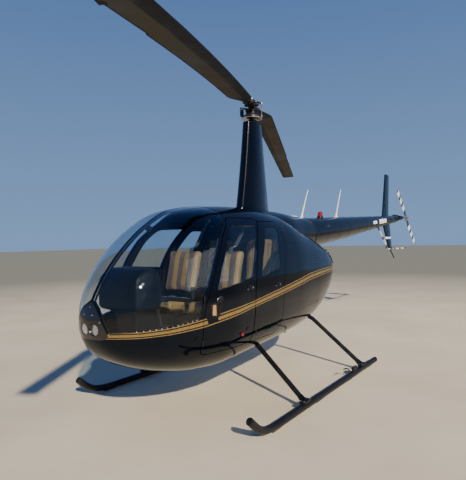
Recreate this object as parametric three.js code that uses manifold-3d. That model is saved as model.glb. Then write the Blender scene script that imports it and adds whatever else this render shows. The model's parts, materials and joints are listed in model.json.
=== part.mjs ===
// A light four-seat helicopter, standing on its skids: an egg-shaped cabin on an engine bay, a tall
// mast fairing with a two-blade teetering rotor, a tapered tail boom with fins and a two-blade tail rotor.
// Millimetres, +Z up. Stations x are counted from the rotor mast, + towards the tail; y is + to starboard;
// z is the height above the ground. The whole group is then set with its rest box centred on the origin.
import * as THREE from "three";
import { mergeVertices } from "three/addons/utils/BufferGeometryUtils.js";
import Module from "manifold-3d";

const wasm = await Module();
wasm.setup();

// Driving dimensions
const MAST_STATION = -877; // where the mast stands in the part's frame, which has its origin mid-length
const NOSE = -2440; // front of the cabin
const TAIL = 1780; // rear of the engine bay
const SKIN = 30; // cabin and cowl wall, doors included
const GLASS = 6; // window pane
const FIT = 0.5; // gap between fixed neighbours
const DOOR_GAP = 7; // gap round a door
const FIREWALL = -165; // front face of the wall behind the rear seats
const ROTOR_RADIUS = 5030;
const ROTOR_HUB_Z = 3214;
const ROTOR_TOP = 3280; // flat cap of the rotor head
const ROTOR_AZIMUTH = 23.8; // degrees from straight aft towards starboard, as parked
const TEETER = 1.7; // degrees that the parked head tips its forward blade down
const BLADE_CHORD = 254;
const BLADE_CHORD_OUTER = 242; // outboard of the trailing edge's step
const BLADE_STEP = 2960;
const TAIL_HUB = { x: 5886, y: -231, z: 2012 };
const TAIL_RADIUS = 735;
const TAIL_CHORD = 130;
const TAIL_BLADE_ANGLE = 47; // degrees below level, at the aft blade
const TAIL_TEETER = 3.5; // degrees that the aft blade tips to port, as parked
const SKID_Y = 1037; // centre of a skid tube, for an outer width of 2140 unloaded
const SKID_TUBE = 33; // radius
const SKID_Z = 37; // its centre, on flat shoes 4 below the tube
const LEG_TUBE = 25; // radius

// Body sections: station, top, bottom, half width, height of the widest point
const BODY = [
  { x: NOSE, top: 980, bottom: 980, half: 0, mid: 980 },
  { x: -2400, top: 1130, bottom: 815, half: 160, mid: 980 },
  { x: -2300, top: 1295, bottom: 685, half: 275, mid: 980 },
  { x: -2100, top: 1520, bottom: 565, half: 415, mid: 975 },
  { x: -1800, top: 1750, bottom: 465, half: 535, mid: 975 },
  { x: -1500, top: 1890, bottom: 405, half: 600, mid: 985 },
  { x: -1200, top: 1935, bottom: 385, half: 635, mid: 995 },
  { x: -600, top: 1960, bottom: 420, half: 638, mid: 1000 },
  { x: 0, top: 1912, bottom: 450, half: 614, mid: 1020 },
  { x: 600, top: 1755, bottom: 500, half: 552, mid: 1055 },
  { x: 900, top: 1670, bottom: 565, half: 510, mid: 1095 },
  { x: 1200, top: 1570, bottom: 690, half: 455, mid: 1150 },
  { x: 1500, top: 1450, bottom: 865, half: 360, mid: 1190 },
  { x: 1700, top: 1340, bottom: 1045, half: 220, mid: 1215 },
  { x: TAIL, top: 1225, bottom: 1225, half: 0, mid: 1225 },
];
const BODY_ROUND_TOP = 2.6; // superellipse exponents of a section
const BODY_ROUND_BOTTOM = 2.55;
const BODY_RINGS = 20;
const BODY_SIDES = 28;

// Side view outlines, corners as x, z and an optional rounding radius
const FRONT_DOOR = [
  [-1690, 620, 90], [-1700, 954], [-1660, 1075], [-1580, 1262], [-1485, 1445], [-1365, 1620],
  [-1150, 1815, 60], [-640, 1815, 30], [-823, 1595], [-921, 1402], [-982, 1168], [-1009, 962],
  [-1009, 620, 60],
];
const REAR_DOOR = [
  [-1003, 620, 60], [-1003, 962], [-976, 1168], [-915, 1402], [-817, 1595], [-655, 1790, 30],
  [-215, 1790, 90], [-268, 1539], [-346, 1349], [-396, 1231], [-443, 1019], [-455, 620, 90],
];
const FRONT_WINDOW = [
  [-1540, 1165, 30], [-1459, 1357], [-1371, 1494], [-1298, 1610], [-1165, 1735, 60],
  [-735, 1745, 30], [-865, 1546], [-949, 1385], [-1006, 1246, 30],
];
const REAR_WINDOW = [
  [-872, 1240, 30], [-799, 1417], [-684, 1593], [-590, 1722, 40], [-320, 1722, 50],
  [-348, 1665], [-442, 1480], [-490, 1297, 30],
];
const WINDSHIELD = [
  [-2600, 893], [-2301, 898], [-2152, 904], [-1989, 916], [-1735, 945, 20], [-1700, 1075],
  [-1622, 1262], [-1527, 1445], [-1407, 1620], [-1215, 1790], [-1180, 1860], [-1180, 2050],
  [-2600, 2050],
];
// Front view outline of the black nose cap, corners as y, z
const NOSE_CAP = [
  [0, 1140], [72, 1088], [119, 1022], [159, 916], [170, 868, 10], [120, 845, 20],
  [-120, 845, 20], [-170, 868, 10], [-159, 916], [-119, 1022], [-72, 1088],
];
const POST_HALF = 16; // half width of the windshield's centre post

// Looks of the plain model
const paint = (color, roughness, metalness = 0) =>
  new THREE.MeshStandardMaterial({ color, roughness, metalness });
const look = {
  black: paint(0x0c0e16, 0.18, 0.1),
  satin: paint(0x15161a, 0.45, 0.2),
  blade: paint(0x2b2622, 0.6),
  steel: paint(0x8d9196, 0.35, 0.9),
  glass: new THREE.MeshStandardMaterial({
    color: 0x9fb0b8, roughness: 0.05, transparent: true, opacity: 0.35,
  }),
  leather: paint(0xb79a78, 0.55),
  cabin: paint(0x2a2a2c, 0.8),
  engine: paint(0x55585c, 0.6, 0.6),
  white: paint(0xe9e9e6, 0.4),
  red: paint(0xa01018, 0.25),
  lamp: paint(0xd8dde0, 0.1, 0.4),
};

const craft = new THREE.Group();
craft.position.x = MAST_STATION;

// Adds a solid to the craft as a named mesh.
function piece(name, solid, material) {
  const mesh = new THREE.Mesh(geometryOf(solid), material);
  mesh.name = name;
  craft.add(mesh);
}

// A closed geometry as a manifold-3d solid, turned outwards if its faces point in.
function solidOf(geometry) {
  const bare = new THREE.BufferGeometry()
    .setAttribute("position", geometry.getAttribute("position"))
    .setIndex(geometry.index);
  const merged = mergeVertices(bare, 1e-3);
  const triVerts = new Uint32Array(merged.index.array);
  const vertProperties = merged.attributes.position.array;
  const make = () => new wasm.Manifold(new wasm.Mesh({ numProp: 3, vertProperties, triVerts }));
  const solid = make();
  if (solid.volume() > 0) return solid;
  for (let i = 0; i < triVerts.length; i += 3)
    [triVerts[i + 1], triVerts[i + 2]] = [triVerts[i + 2], triVerts[i + 1]];
  return make();
}

function geometryOf(solid) {
  const mesh = solid.getMesh();
  const flat = new Float32Array(mesh.numVert * 3);
  for (let i = 0; i < mesh.numVert; i++)
    flat.set(mesh.vertProperties.subarray(i * mesh.numProp, i * mesh.numProp + 3), i * 3);
  return new THREE.BufferGeometry()
    .setAttribute("position", new THREE.BufferAttribute(flat, 3))
    .setIndex(new THREE.BufferAttribute(mesh.triVerts, 1));
}

const join = (...solids) => solids.reduce((sum, one) => sum.add(one));
const cut = (solid, ...tools) => tools.reduce((rest, tool) => rest.subtract(tool), solid);

// A solid through rings of equal point counts, closed at each end by a fan to a tip point.
function loft(rings, firstTip, lastTip) {
  const count = rings[0].length;
  const middle = (ring) =>
    ring.reduce((sum, p) => sum.add(p), new THREE.Vector3()).divideScalar(count);
  const points = [...rings.flat(), firstTip ?? middle(rings[0]), lastTip ?? middle(rings.at(-1))];
  const first = rings.length * count;
  const faces = [];
  for (let j = 0; j < count; j++) {
    const k = (j + 1) % count;
    faces.push(first, k, j);
    for (let i = 0; i + 1 < rings.length; i++) {
      const a = i * count;
      faces.push(a + j, a + k, a + count + j, a + k, a + count + k, a + count + j);
    }
    faces.push(first + 1, first - count + j, first - count + k);
  }
  const flat = new Float32Array(points.flatMap((p) => [p.x, p.y, p.z]));
  return solidOf(
    new THREE.BufferGeometry()
      .setAttribute("position", new THREE.BufferAttribute(flat, 3))
      .setIndex(faces),
  );
}

function box(x0, x1, y0, y1, z0, z1) {
  const geometry = new THREE.BoxGeometry(x1 - x0, y1 - y0, z1 - z0);
  return solidOf(geometry.translate((x0 + x1) / 2, (y0 + y1) / 2, (z0 + z1) / 2));
}

// A round bar of radius r from point a to point b, with its own end radius if it tapers.
function bar(a, b, r, rEnd = r, sides = 16) {
  const from = new THREE.Vector3(...a);
  const to = new THREE.Vector3(...b);
  const geometry = new THREE.CylinderGeometry(rEnd, r, from.distanceTo(to), sides);
  const turn = new THREE.Quaternion().setFromUnitVectors(
    new THREE.Vector3(0, 1, 0), to.clone().sub(from).normalize(),
  );
  geometry.applyQuaternion(turn).translate(...from.add(to).divideScalar(2).toArray());
  return solidOf(geometry);
}

// A round tube swept along a curve.
function sweep(curve, radius, steps, sides = 8) {
  const section = new THREE.Shape();
  for (let i = 0; i < sides; i++) {
    const a = (i / sides) * 2 * Math.PI;
    const at = [radius * Math.cos(a), radius * Math.sin(a)];
    if (i) section.lineTo(...at);
    else section.moveTo(...at);
  }
  return solidOf(new THREE.ExtrudeGeometry(section, { steps, bevelEnabled: false, extrudePath: curve }));
}

// A path of straight runs with rounded bends; each corner is x, y, z and its bend's length.
function bentPath(corners) {
  const path = new THREE.CurvePath();
  const at = (c) => new THREE.Vector3(c[0], c[1], c[2]);
  let from = at(corners[0]);
  for (let i = 1; i + 1 < corners.length; i++) {
    const here = at(corners[i]);
    const next = at(corners[i + 1]);
    const reach = corners[i][3];
    const start = here.clone().add(from.clone().sub(here).setLength(reach));
    const end = here.clone().add(next.clone().sub(here).setLength(reach));
    path.add(new THREE.LineCurve3(from, start));
    path.add(new THREE.QuadraticBezierCurve3(start, here, end));
    from = end;
  }
  path.add(new THREE.LineCurve3(from, at(corners.at(-1))));
  return path;
}

// An outline's corners with each marked corner rounded by a short curve of a few steps.
function rounded(corners, steps = 4) {
  const n = corners.length;
  return corners.flatMap(([x, z, r], i) => {
    if (!r) return [new THREE.Vector2(x, z)];
    const here = new THREE.Vector2(x, z);
    const [before, after] = [corners[(i + n - 1) % n], corners[(i + 1) % n]].map(([u, v]) =>
      here.clone().add(new THREE.Vector2(u, v).sub(here).setLength(r)),
    );
    return new THREE.QuadraticBezierCurve(before, here, after).getPoints(steps);
  });
}

// An outline moved outwards by d, or inwards where d is negative, along its corners' bisectors.
function grown(outline, d) {
  const side = Math.sign(THREE.ShapeUtils.area(outline));
  const n = outline.length;
  return outline.map((p, i) => {
    const u = p.clone().sub(outline[(i + n - 1) % n]).normalize();
    const v = outline[(i + 1) % n].clone().sub(p).normalize();
    const normal = new THREE.Vector2(u.y + v.y, -u.x - v.x).normalize();
    const stretch = 1 / Math.max(0.5, normal.dot(new THREE.Vector2(u.y, -u.x)));
    return p.clone().addScaledVector(normal, side * d * stretch);
  });
}

// A prism with a side view outline (x, z), from y0 to y1.
function prismY(outline, y0, y1) {
  const geometry = new THREE.ExtrudeGeometry(new THREE.Shape(outline), {
    depth: y1 - y0, bevelEnabled: false,
  });
  return solidOf(geometry.rotateX(Math.PI / 2).translate(0, y1, 0));
}

// A prism with a front view outline (y, z), from x0 to x1.
function prismX(outline, x0, x1) {
  const geometry = new THREE.ExtrudeGeometry(new THREE.Shape(outline), {
    depth: x1 - x0, bevelEnabled: false,
  });
  return solidOf(geometry.rotateX(Math.PI / 2).rotateZ(Math.PI / 2).translate(x0, 0, 0));
}

// The body's shape. Its curves run smoothly through the sections over s, the square root of the distance
// from the nose, so that the nose is round: cubic pieces whose slopes never overshoot the sections.
const bodyStep = (x) => Math.sqrt(Math.max(0, x - NOSE));
function monotone(key) {
  const s = BODY.map((b) => bodyStep(b.x));
  const v = BODY.map((b) => b[key]);
  const rise = s.slice(1).map((_, i) => (v[i + 1] - v[i]) / (s[i + 1] - s[i]));
  const slope = s.map((_, i) => {
    if (i === 0) return rise[0];
    if (i === rise.length) return rise.at(-1) * 1.5;
    const [a, b] = [rise[i - 1], rise[i]];
    return a * b <= 0 ? 0 : (2 * a * b) / (a + b);
  });
  return (x) => {
    const at = bodyStep(x);
    const i = Math.min(rise.length - 1, Math.max(0, s.findLastIndex((k) => k <= at)));
    const h = s[i + 1] - s[i];
    const t = (at - s[i]) / h;
    const u = 1 - t;
    return (
      v[i] * u * u * (1 + 2 * t) + slope[i] * h * t * u * u +
      v[i + 1] * t * t * (3 - 2 * t) - slope[i + 1] * h * t * t * u
    );
  };
}
const bodyCurve = Object.fromEntries(["top", "bottom", "half", "mid"].map((k) => [k, monotone(k)]));

// A point's place in the body's section: the level is 1 on the wall, less inside it and more outside.
function bodyLevel(x, y, z) {
  const mid = bodyCurve.mid(x);
  const up = z >= mid;
  const n = up ? BODY_ROUND_TOP : BODY_ROUND_BOTTOM;
  const tall = Math.max(1, up ? bodyCurve.top(x) - mid : mid - bodyCurve.bottom(x));
  const wide = Math.max(1, bodyCurve.half(x));
  return { tall, wide, level: Math.abs(y / wide) ** n + Math.abs((z - mid) / tall) ** n };
}

// A point of the body's surface at station x and angle a round the section, moved inwards by inset.
function bodyPoint(x, a, inset) {
  const [c, s] = [Math.cos(a), Math.sin(a)];
  const mid = bodyCurve.mid(x);
  const n = s >= 0 ? BODY_ROUND_TOP : BODY_ROUND_BOTTOM;
  const tall = s >= 0 ? bodyCurve.top(x) - mid : mid - bodyCurve.bottom(x);
  const y = bodyCurve.half(x) * Math.sign(c) * Math.abs(c) ** (2 / n);
  const z = mid + tall * Math.sign(s) * Math.abs(s) ** (2 / n);
  const point = new THREE.Vector3(x, y, z);
  if (!inset) return point;
  const around = bodyLevel(x, y, z);
  const step = 2;
  const normal = new THREE.Vector3(
    (bodyLevel(x + step, y, z).level - bodyLevel(x - step, y, z).level) / (2 * step),
    (Math.sign(y) * n * Math.abs(y / around.wide) ** (n - 1)) / around.wide,
    (Math.sign(z - mid) * n * Math.abs((z - mid) / around.tall) ** (n - 1)) / around.tall,
  );
  return point.addScaledVector(normal.normalize(), -inset);
}

// The whole body as a solid, its surface moved inwards by inset.
function body(inset) {
  const rings = [];
  for (let i = 1; i < BODY_RINGS; i++) {
    const x = NOSE + ((TAIL - NOSE) * (1 - Math.cos((Math.PI * i) / BODY_RINGS))) / 2;
    const ring = [];
    for (let j = 0; j < BODY_SIDES; j++) ring.push(bodyPoint(x, (j / BODY_SIDES) * 2 * Math.PI, inset));
    rings.push(ring);
  }
  const tip = (x, z) => new THREE.Vector3(x, 0, z);
  return loft(rings, tip(NOSE + inset, BODY[0].mid), tip(TAIL - inset, BODY.at(-1).mid));
}

const outer = body(0);
const inner = body(SKIN);
const skin = cut(outer, inner);
const pane = cut(body(2), body(2 + GLASS));
const inside = body(SKIN + FIT);
const clearOfBody = body(-FIT);
const FAR = 3000;

// Skid gear: each cross tube rises from a skid to its elbow and runs level through the body.
const LEGS = [
  { name: "front_cross_tube", footX: -800, elbowX: -576, elbowY: 425, elbowZ: 506 },
  { name: "rear_cross_tube", footX: 730, elbowX: 786, elbowY: 402, elbowZ: 594 },
];
const LEG_FOOT_Z = SKID_Z + SKID_TUBE + FIT;
const SADDLE = { long: 70, wide: 30, tall: 24 }; // half length, half width and height of a leg's foot
function crossTube(leg, radius) {
  const foot = [leg.footX, SKID_Y, LEG_FOOT_Z];
  const elbow = [leg.elbowX, leg.elbowY - 60, leg.elbowZ, 70];
  const port = ([x, y, z, r]) => [x, -y, z, r];
  return sweep(bentPath([port(foot), port(elbow), elbow, foot]), radius, 24);
}
const legTrim = (leg) => box(leg.footX - 200, leg.footX + 200, -FAR, FAR, -100, LEG_FOOT_Z);
const legHoles = LEGS.map((leg) => crossTube(leg, LEG_TUBE + 3));
for (const leg of LEGS) {
  const saddles = [-SKID_Y, SKID_Y].map((y) =>
    box(leg.footX - SADDLE.long, leg.footX + SADDLE.long, y - SADDLE.wide, y + SADDLE.wide,
      LEG_FOOT_Z, LEG_FOOT_Z + SADDLE.tall),
  );
  piece(leg.name, cut(join(crossTube(leg, LEG_TUBE), ...saddles), legTrim(leg)), look.satin);
}
const SKID_SHOES = [-1350, -500, 300, 1000];
const LUG = { from: 320, to: 430, half: 12, top: 112 }; // the ground-handling lug on each skid
for (const [name, side] of [["skid_left", -1], ["skid_right", 1]]) {
  const y = side * SKID_Y;
  const path = bentPath([
    [-1752, y, 200], [-1590, y, 62, 110], [-1380, y, SKID_Z, 60], [1205, y, SKID_Z],
  ]);
  const shoes = SKID_SHOES.map((x) => box(x - 75, x + 75, y - 24, y + 24, 0, SKID_Z));
  const lug = box(LUG.from, LUG.to, y - LUG.half, y + LUG.half, SKID_Z, LUG.top);
  piece(name, join(sweep(path, SKID_TUBE, 24, 10), ...shoes, lug), look.satin);
}

// Cabin: one shell ahead of the firewall, with its openings cut, a belly panel and a nose cap.
const outline = {
  frontDoor: rounded(FRONT_DOOR), rearDoor: rounded(REAR_DOOR), frontWindow: rounded(FRONT_WINDOW),
  rearWindow: rounded(REAR_WINDOW), windshield: rounded(WINDSHIELD), cap: rounded(NOSE_CAP),
};
const CABIN_END = FIREWALL + 10;
const BELLY_TOP = 560; // the belly panel's seam with the cabin's sides
const BELLY_FRONT = -1900;
const CAP_DEPTH = [-2600, -2200]; // stations that the nose cap's outline is cut through
const halfSpace = (side, from = 1) => [side > 0 ? from : -FAR, side > 0 ? FAR : -from];
const CAP_FRAME = 18; // width of the skin left between the nose cap and the windshield
const windshieldSide = (side, d) => {
  const [y0, y1] = halfSpace(side, POST_HALF - d);
  const capEdge = prismX(grown(outline.cap, CAP_FRAME - d), ...CAP_DEPTH);
  return cut(prismY(grown(outline.windshield, d), y0, y1), capEdge);
};
const LAMP_Y = 55; // two lamps behind the nose cap
const LAMP_Z = 926;
const lampHoles = (r) =>
  [-LAMP_Y, LAMP_Y].map((y) => bar([-2600, y, LAMP_Z], [-2200, y, LAMP_Z], r, r, 20));

const cabinEnd = box(CABIN_END, FAR, -FAR, FAR, -FAR, FAR);
const bellyBox = (d) => box(BELLY_FRONT - d, CABIN_END, -FAR, FAR, 0, BELLY_TOP + d);
const capPrism = (d) => prismX(grown(outline.cap, d), ...CAP_DEPTH);
let shell = cut(skin, cabinEnd, bellyBox(FIT), capPrism(FIT), ...legHoles);
for (const side of [-1, 1]) {
  const [y0, y1] = halfSpace(side, 200);
  shell = cut(
    shell,
    prismY(grown(outline.frontDoor, DOOR_GAP / 2), y0, y1),
    prismY(grown(outline.rearDoor, DOOR_GAP / 2), y0, y1),
    windshieldSide(side, 0),
  );
}
piece("cabin_shell", shell, look.black);
piece("belly_panel", cut(skin.intersect(bellyBox(0)), ...legHoles), look.black);
piece("nose_cap", cut(skin.intersect(capPrism(0)), ...lampHoles(48)), look.black);
const LAMP_BACK = -2375;
const lampBarrels = join(...lampHoles(46)).intersect(box(-FAR, LAMP_BACK, -FAR, FAR, 0, FAR));
const lamps = body(6).intersect(lampBarrels);
const lampBack = box(LAMP_BACK - 14, LAMP_BACK, -100, 100, 905, 947).intersect(inside);
piece("landing_lamps", join(lamps, lampBack), look.lamp);

for (const [hand, side] of [["left", -1], ["right", 1]]) {
  const [y0, y1] = halfSpace(side, 200);
  piece("windshield_" + hand, pane.intersect(windshieldSide(side, -1)), look.glass);
  for (const place of ["front", "rear"]) {
    const doorLine = grown(outline[place + "Door"], -DOOR_GAP / 2);
    const windowLine = outline[place + "Window"];
    const door = cut(skin.intersect(prismY(doorLine, y0, y1)), prismY(windowLine, y0, y1));
    piece(place + "_door_" + hand, door, look.black);
    piece(place + "_window_" + hand, pane.intersect(prismY(grown(windowLine, -1), y0, y1)), look.glass);
  }
}

// Cabin fittings: firewall, floor with seat boxes, cushions, console and the centre stick.
const FLOOR_Z = 560;
const SEAT_SIDE = [["left", -1], ["right", 1]];
piece("firewall", inside.intersect(box(FIREWALL, FIREWALL + 18, -FAR, FAR, 0, FAR)), look.cabin);
const SEAT_IN = 25; // inner edge of each seat box from the centre line
const SEAT_OUT = 505;
const PAD_INSET = 6; // of a cushion from its seat box's edges
const FLOOR_FRONT = -2330;
const FLOOR_SHEET = 20;
const FRONT_BOX = { x0: -1440, x1: -1060, top: 892 };
const REAR_BOX = { x0: -740, x1: FIREWALL - FIT, top: 936 };
const seatBox = (b, y0, y1) => box(b.x0, b.x1, y0, y1, FLOOR_Z, b.top);
const floor = join(
  box(FLOOR_FRONT, FIREWALL - FIT, -FAR, FAR, FLOOR_Z, FLOOR_Z + FLOOR_SHEET),
  seatBox(FRONT_BOX, -SEAT_OUT, -SEAT_IN),
  seatBox(FRONT_BOX, SEAT_IN, SEAT_OUT),
  seatBox(REAR_BOX, -SEAT_OUT, SEAT_OUT),
);
piece("cabin_floor", inside.intersect(floor), look.cabin);

// A cushion: a slab with its thin edges eased, width along y, laid or leaned by its tilt.
function cushion(centre, long, wide, thick, tilt) {
  const [a, b] = [long / 2, thick / 2];
  const slope = new THREE.Matrix4().makeRotationY(tilt).setPosition(...centre);
  const ring = (y, shrink) => {
    const [u, v] = [a - shrink, b - shrink];
    const r = 0.8 * v;
    return rounded([[-u, -v, r], [u, -v, r], [u, v, r], [-u, v, r]], 2)
      .map((p) => new THREE.Vector3(p.x, y, p.y).applyMatrix4(slope));
  };
  const w = wide / 2;
  return loft([ring(-w, 20), ring(-w + 25, 0), ring(w - 25, 0), ring(w, 20)]);
}
// Each seat's cushion and back: centre x and z, length, and the cushion's rise and back's lean in degrees
const PAD_THICK = 96;
const BACK_THICK = 84;
const SEATS = [
  { row: "front", pad: [-1265, 964], padLong: 390, rise: 5, back: [-990, 1280], backLong: 490, lean: 14 },
  { row: "rear", pad: [-520, 998], padLong: 410, rise: 2, back: [-260, 1357], backLong: 560, lean: 6 },
];
for (const [hand, side] of SEAT_SIDE)
  for (const seat of SEATS) {
    const y = (side * (SEAT_IN + SEAT_OUT)) / 2;
    const wide = SEAT_OUT - SEAT_IN - 2 * PAD_INSET;
    const [px, pz] = seat.pad;
    const [bx, bz] = seat.back;
    const lean = THREE.MathUtils.degToRad(seat.lean - 90);
    const rise = THREE.MathUtils.degToRad(seat.rise);
    const pad = cushion([px, y, pz], seat.padLong, wide, PAD_THICK, rise);
    const back = cushion([bx, y, bz], seat.backLong, wide, BACK_THICK, lean);
    piece(seat.row + "_seat_" + hand, pad, look.leather);
    piece(seat.row + "_back_" + hand, back, look.leather);
  }

const POD = [
  [-2150, 1030, 40], [-1850, 1020, 40], [-1850, 1300, 40], [-1900, 1380, 40], [-2040, 1385, 60],
  [-2150, 1300, 60],
];
const pedestal = prismY(rounded([[-1990, 581], [-1720, 581], [-1810, 1030], [-2060, 1030]]), -120, 120);
piece("instrument_console", join(pedestal, prismY(rounded(POD), -240, 240)), look.cabin);
const STICK = [[-1560, 0, 586, 0], [-1680, 0, 1045, 80], [-1560, 0, 1060, 0]];
const GRIP = [
  [-1560, -330, 1150, 0], [-1560, -330, 1060, 50], [-1560, 330, 1060, 50], [-1560, 330, 1150, 0],
];
const STICK_TUBE = 16; // radii
const GRIP_TUBE = 14;
const stick = join(sweep(bentPath(STICK), STICK_TUBE, 8), sweep(bentPath(GRIP), GRIP_TUBE, 12));
piece("cyclic_stick", stick, look.satin);

// Engine bay: cowl sides, upper cowl and tail cowl round the engine block.
const BAY_START = CABIN_END + FIT;
const TAIL_SEAM = 1280;
const exhaustPipe = (radius) => bar([420, -150, 740], [420, -150, 432], radius, radius, 14);
const bay = cut(skin, box(-FAR, BAY_START, -FAR, FAR, -FAR, FAR), exhaustPipe(36), ...legHoles);
for (const [hand, side] of SEAT_SIDE) {
  const [y0, y1] = halfSpace(side, FIT / 2);
  const half = bay.intersect(box(BAY_START, TAIL_SEAM, y0, y1, 0, FAR));
  piece("engine_cowl_" + hand, half, look.black);
}
piece("tail_cowl", bay.intersect(box(TAIL_SEAM + FIT, FAR, -FAR, FAR, 0, FAR)), look.black);
piece("engine_block", join(box(-60, 800, -330, 330, 695, 1150), exhaustPipe(32)), look.engine);

// Tail boom: rings from the upper cowl to the tail gearbox.
const BOOM = [
  { x: 1290, z: 1669, r: 222 },
  { x: 2700, z: 1763, r: 183 },
  { x: 4200, z: 1874, r: 130 },
  { x: 5650, z: 1978, r: 80 },
];
const BOOM_WALL = 8;
const circleX = (x, z, ry, rz, sides = 20) =>
  Array.from({ length: sides }, (_, i) => {
    const a = (i / sides) * 2 * Math.PI;
    return new THREE.Vector3(x, ry * Math.cos(a), z + rz * Math.sin(a));
  });
const boomTube = (thinner, ahead = 0) =>
  loft(BOOM.map((b, i) => circleX(b.x - (i ? 0 : ahead), b.z, b.r - thinner, b.r - thinner)));
const boomAt = (x) => {
  const i = Math.max(0, BOOM.findLastIndex((b, k) => b.x <= x && k < BOOM.length - 1));
  const t = (x - BOOM[i].x) / (BOOM[i + 1].x - BOOM[i].x);
  const mix = (k) => BOOM[i][k] * (1 - t) + BOOM[i + 1][k] * t;
  return { z: mix("z"), r: mix("r") };
};

// Upper cowl: from behind the mast fairing it fairs the roof into the boom.
const UPPER_COWL = [
  { x: -330, z: 1700, ry: 150, rz: 150 },
  { x: -60, z: 1700, ry: 300, rz: 250 },
  { x: 400, z: 1690, ry: 300, rz: 255 },
  { x: 900, z: 1672, ry: 255, rz: 238 },
  { x: BOOM[0].x - FIT, z: BOOM[0].z, ry: BOOM[0].r, rz: BOOM[0].r },
];
const upperCowl = (more) => loft(UPPER_COWL.map((c) => circleX(c.x, c.z, c.ry + more, c.rz + more)));
piece("upper_cowl", cut(upperCowl(0), clearOfBody), look.black);

// Fins, in side view; each is a flat aerofoil plate of the given half thickness.
const UPPER_FIN = [[4880, 1900], [5150, 2912, 20], [5450, 2912, 20], [5350, 1900]];
const LOWER_FIN = [[4880, 1960], [5330, 1330, 20], [5590, 1330, 20], [5420, 1960]];
const FIN_HALF = 20;
const FIN_ROOT = boomAt(5150).z; // the fins meet the boom above and below this height
const boomSolid = boomTube(-FIT);
const fin = (side, z0, z1) => {
  const plate = prismY(rounded(side), -FIN_HALF, FIN_HALF);
  return cut(plate, boomSolid).intersect(box(0, 3 * FAR, -FAR, FAR, z0, z1));
};
piece("upper_fin", fin(UPPER_FIN, FIN_ROOT, 2 * FAR), look.black);
const tailSkid = bar([5430, 0, 1335], [5725, 0, 1140], 14, 12, 10);
const lowerFin = fin(LOWER_FIN, 0, FIN_ROOT);
const guardPath = [[4440, -75, 1780, 0], [5110, -52, 1347, 90], [6430, -52, 1338, 0]];
const GUARD_TUBE = 16;
const guard = (radius) => sweep(bentPath(guardPath), radius, 16);
piece("lower_fin", cut(join(lowerFin, tailSkid), guard(GUARD_TUBE + FIT)), look.black);
piece("tail_rotor_guard", cut(guard(GUARD_TUBE), boomSolid), look.white);

// Stabilizer: on the starboard side only, level, tapered towards its tip.
const STABILIZER = { y0: 0, y1: 640, x0: 5020, x1: 5330, tipX0: 5100, tipX1: 5330, z: 1950, half: 14 };
const plate = STABILIZER;
const stabilizer = loft([
  [plate.x0, plate.x1, plate.y0], [plate.tipX0, plate.tipX1, plate.y1],
].map(([x0, x1, y]) => {
  const mid = x0 + (x1 - x0) * 0.3;
  return [[x0, 0], [mid, plate.half], [x1, 2], [x1, -2], [mid, -plate.half]]
    .map(([x, z]) => new THREE.Vector3(x, y, plate.z + z));
}));
piece("stabilizer_right", cut(stabilizer, boomSolid), look.black);

const BOOM_END = BOOM.at(-1);
const gearbox = join(
  loft([
    circleX(BOOM_END.x + FIT, BOOM_END.z, BOOM_END.r, BOOM_END.r, 16), circleX(5790, 2005, 82, 82, 16),
    circleX(5960, 2014, 70, 72, 16), circleX(6060, 2016, 34, 36, 16),
  ]),
  bar([TAIL_HUB.x, 0, TAIL_HUB.z], [TAIL_HUB.x, -150, TAIL_HUB.z], 50, 36),
);
piece("tail_gearbox", gearbox, look.steel);
const boomHollow = boomTube(BOOM_WALL, 60).intersect(box(0, BOOM_END.x - 60, -FAR, FAR, 0, FAR));
piece("tail_boom", cut(boomTube(0), boomHollow, clearOfBody), look.black);

// Whip aerials and the beacon on top of the boom.
const onBoom = (x) => boomAt(x).z + boomAt(x).r;
const AERIALS = [
  { name: "antenna_front", x: 1254, tall: 417, rake: 232 },
  { name: "antenna_rear", x: 2500, tall: 474, rake: 237 },
];
for (const { name, x, tall, rake } of AERIALS) {
  const z = onBoom(x) + 2;
  const foot = cut(bar([x, 0, z - 30], [x + 8, 0, z + 24], 33, 18), boomSolid, upperCowl(FIT));
  piece(name, join(foot, bar([x + 4, 0, z + 10], [x + rake, 0, z + tall], 11, 5, 10)), look.white);
}
const BEACON_X = 1900;
const beaconFoot = onBoom(BEACON_X);
const beacon = bar([BEACON_X, 0, beaconFoot - 12], [BEACON_X, 0, beaconFoot + 92], 45, 34, 20);
piece("beacon", cut(beacon, boomSolid), look.red);

// Mast fairing: aerofoil rings, its top bored for the rotor shaft.
const FAIRING = [
  { z: 1860, front: -345, rear: 360, half: 104 },
  { z: 2200, front: -275, rear: 318, half: 97 },
  { z: 2600, front: -205, rear: 262, half: 86 },
  { z: 2985, front: -150, rear: 215, half: 75 },
];
function aerofoil(f, sides = 20) {
  const chord = f.rear - f.front;
  return Array.from({ length: sides }, (_, i) => {
    const a = (i / sides) * 2 * Math.PI;
    const t = (1 - Math.cos(a)) / 2;
    const y = Math.sign(Math.sin(a)) * f.half * 2.6 * Math.sqrt(t) * (1 - t) ** 0.9 * 0.98;
    return new THREE.Vector3(f.front + chord * t, y, f.z);
  });
}
const SHAFT = 32; // radius
const shaftBore = bar([0, 0, 2900], [0, 0, 3100], SHAFT + 12, SHAFT + 12, 24);
const fairing = loft(FAIRING.map((f) => aerofoil(f)));
piece("mast_fairing", cut(fairing, clearOfBody, upperCowl(FIT), shaftBore), look.black);

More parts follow.
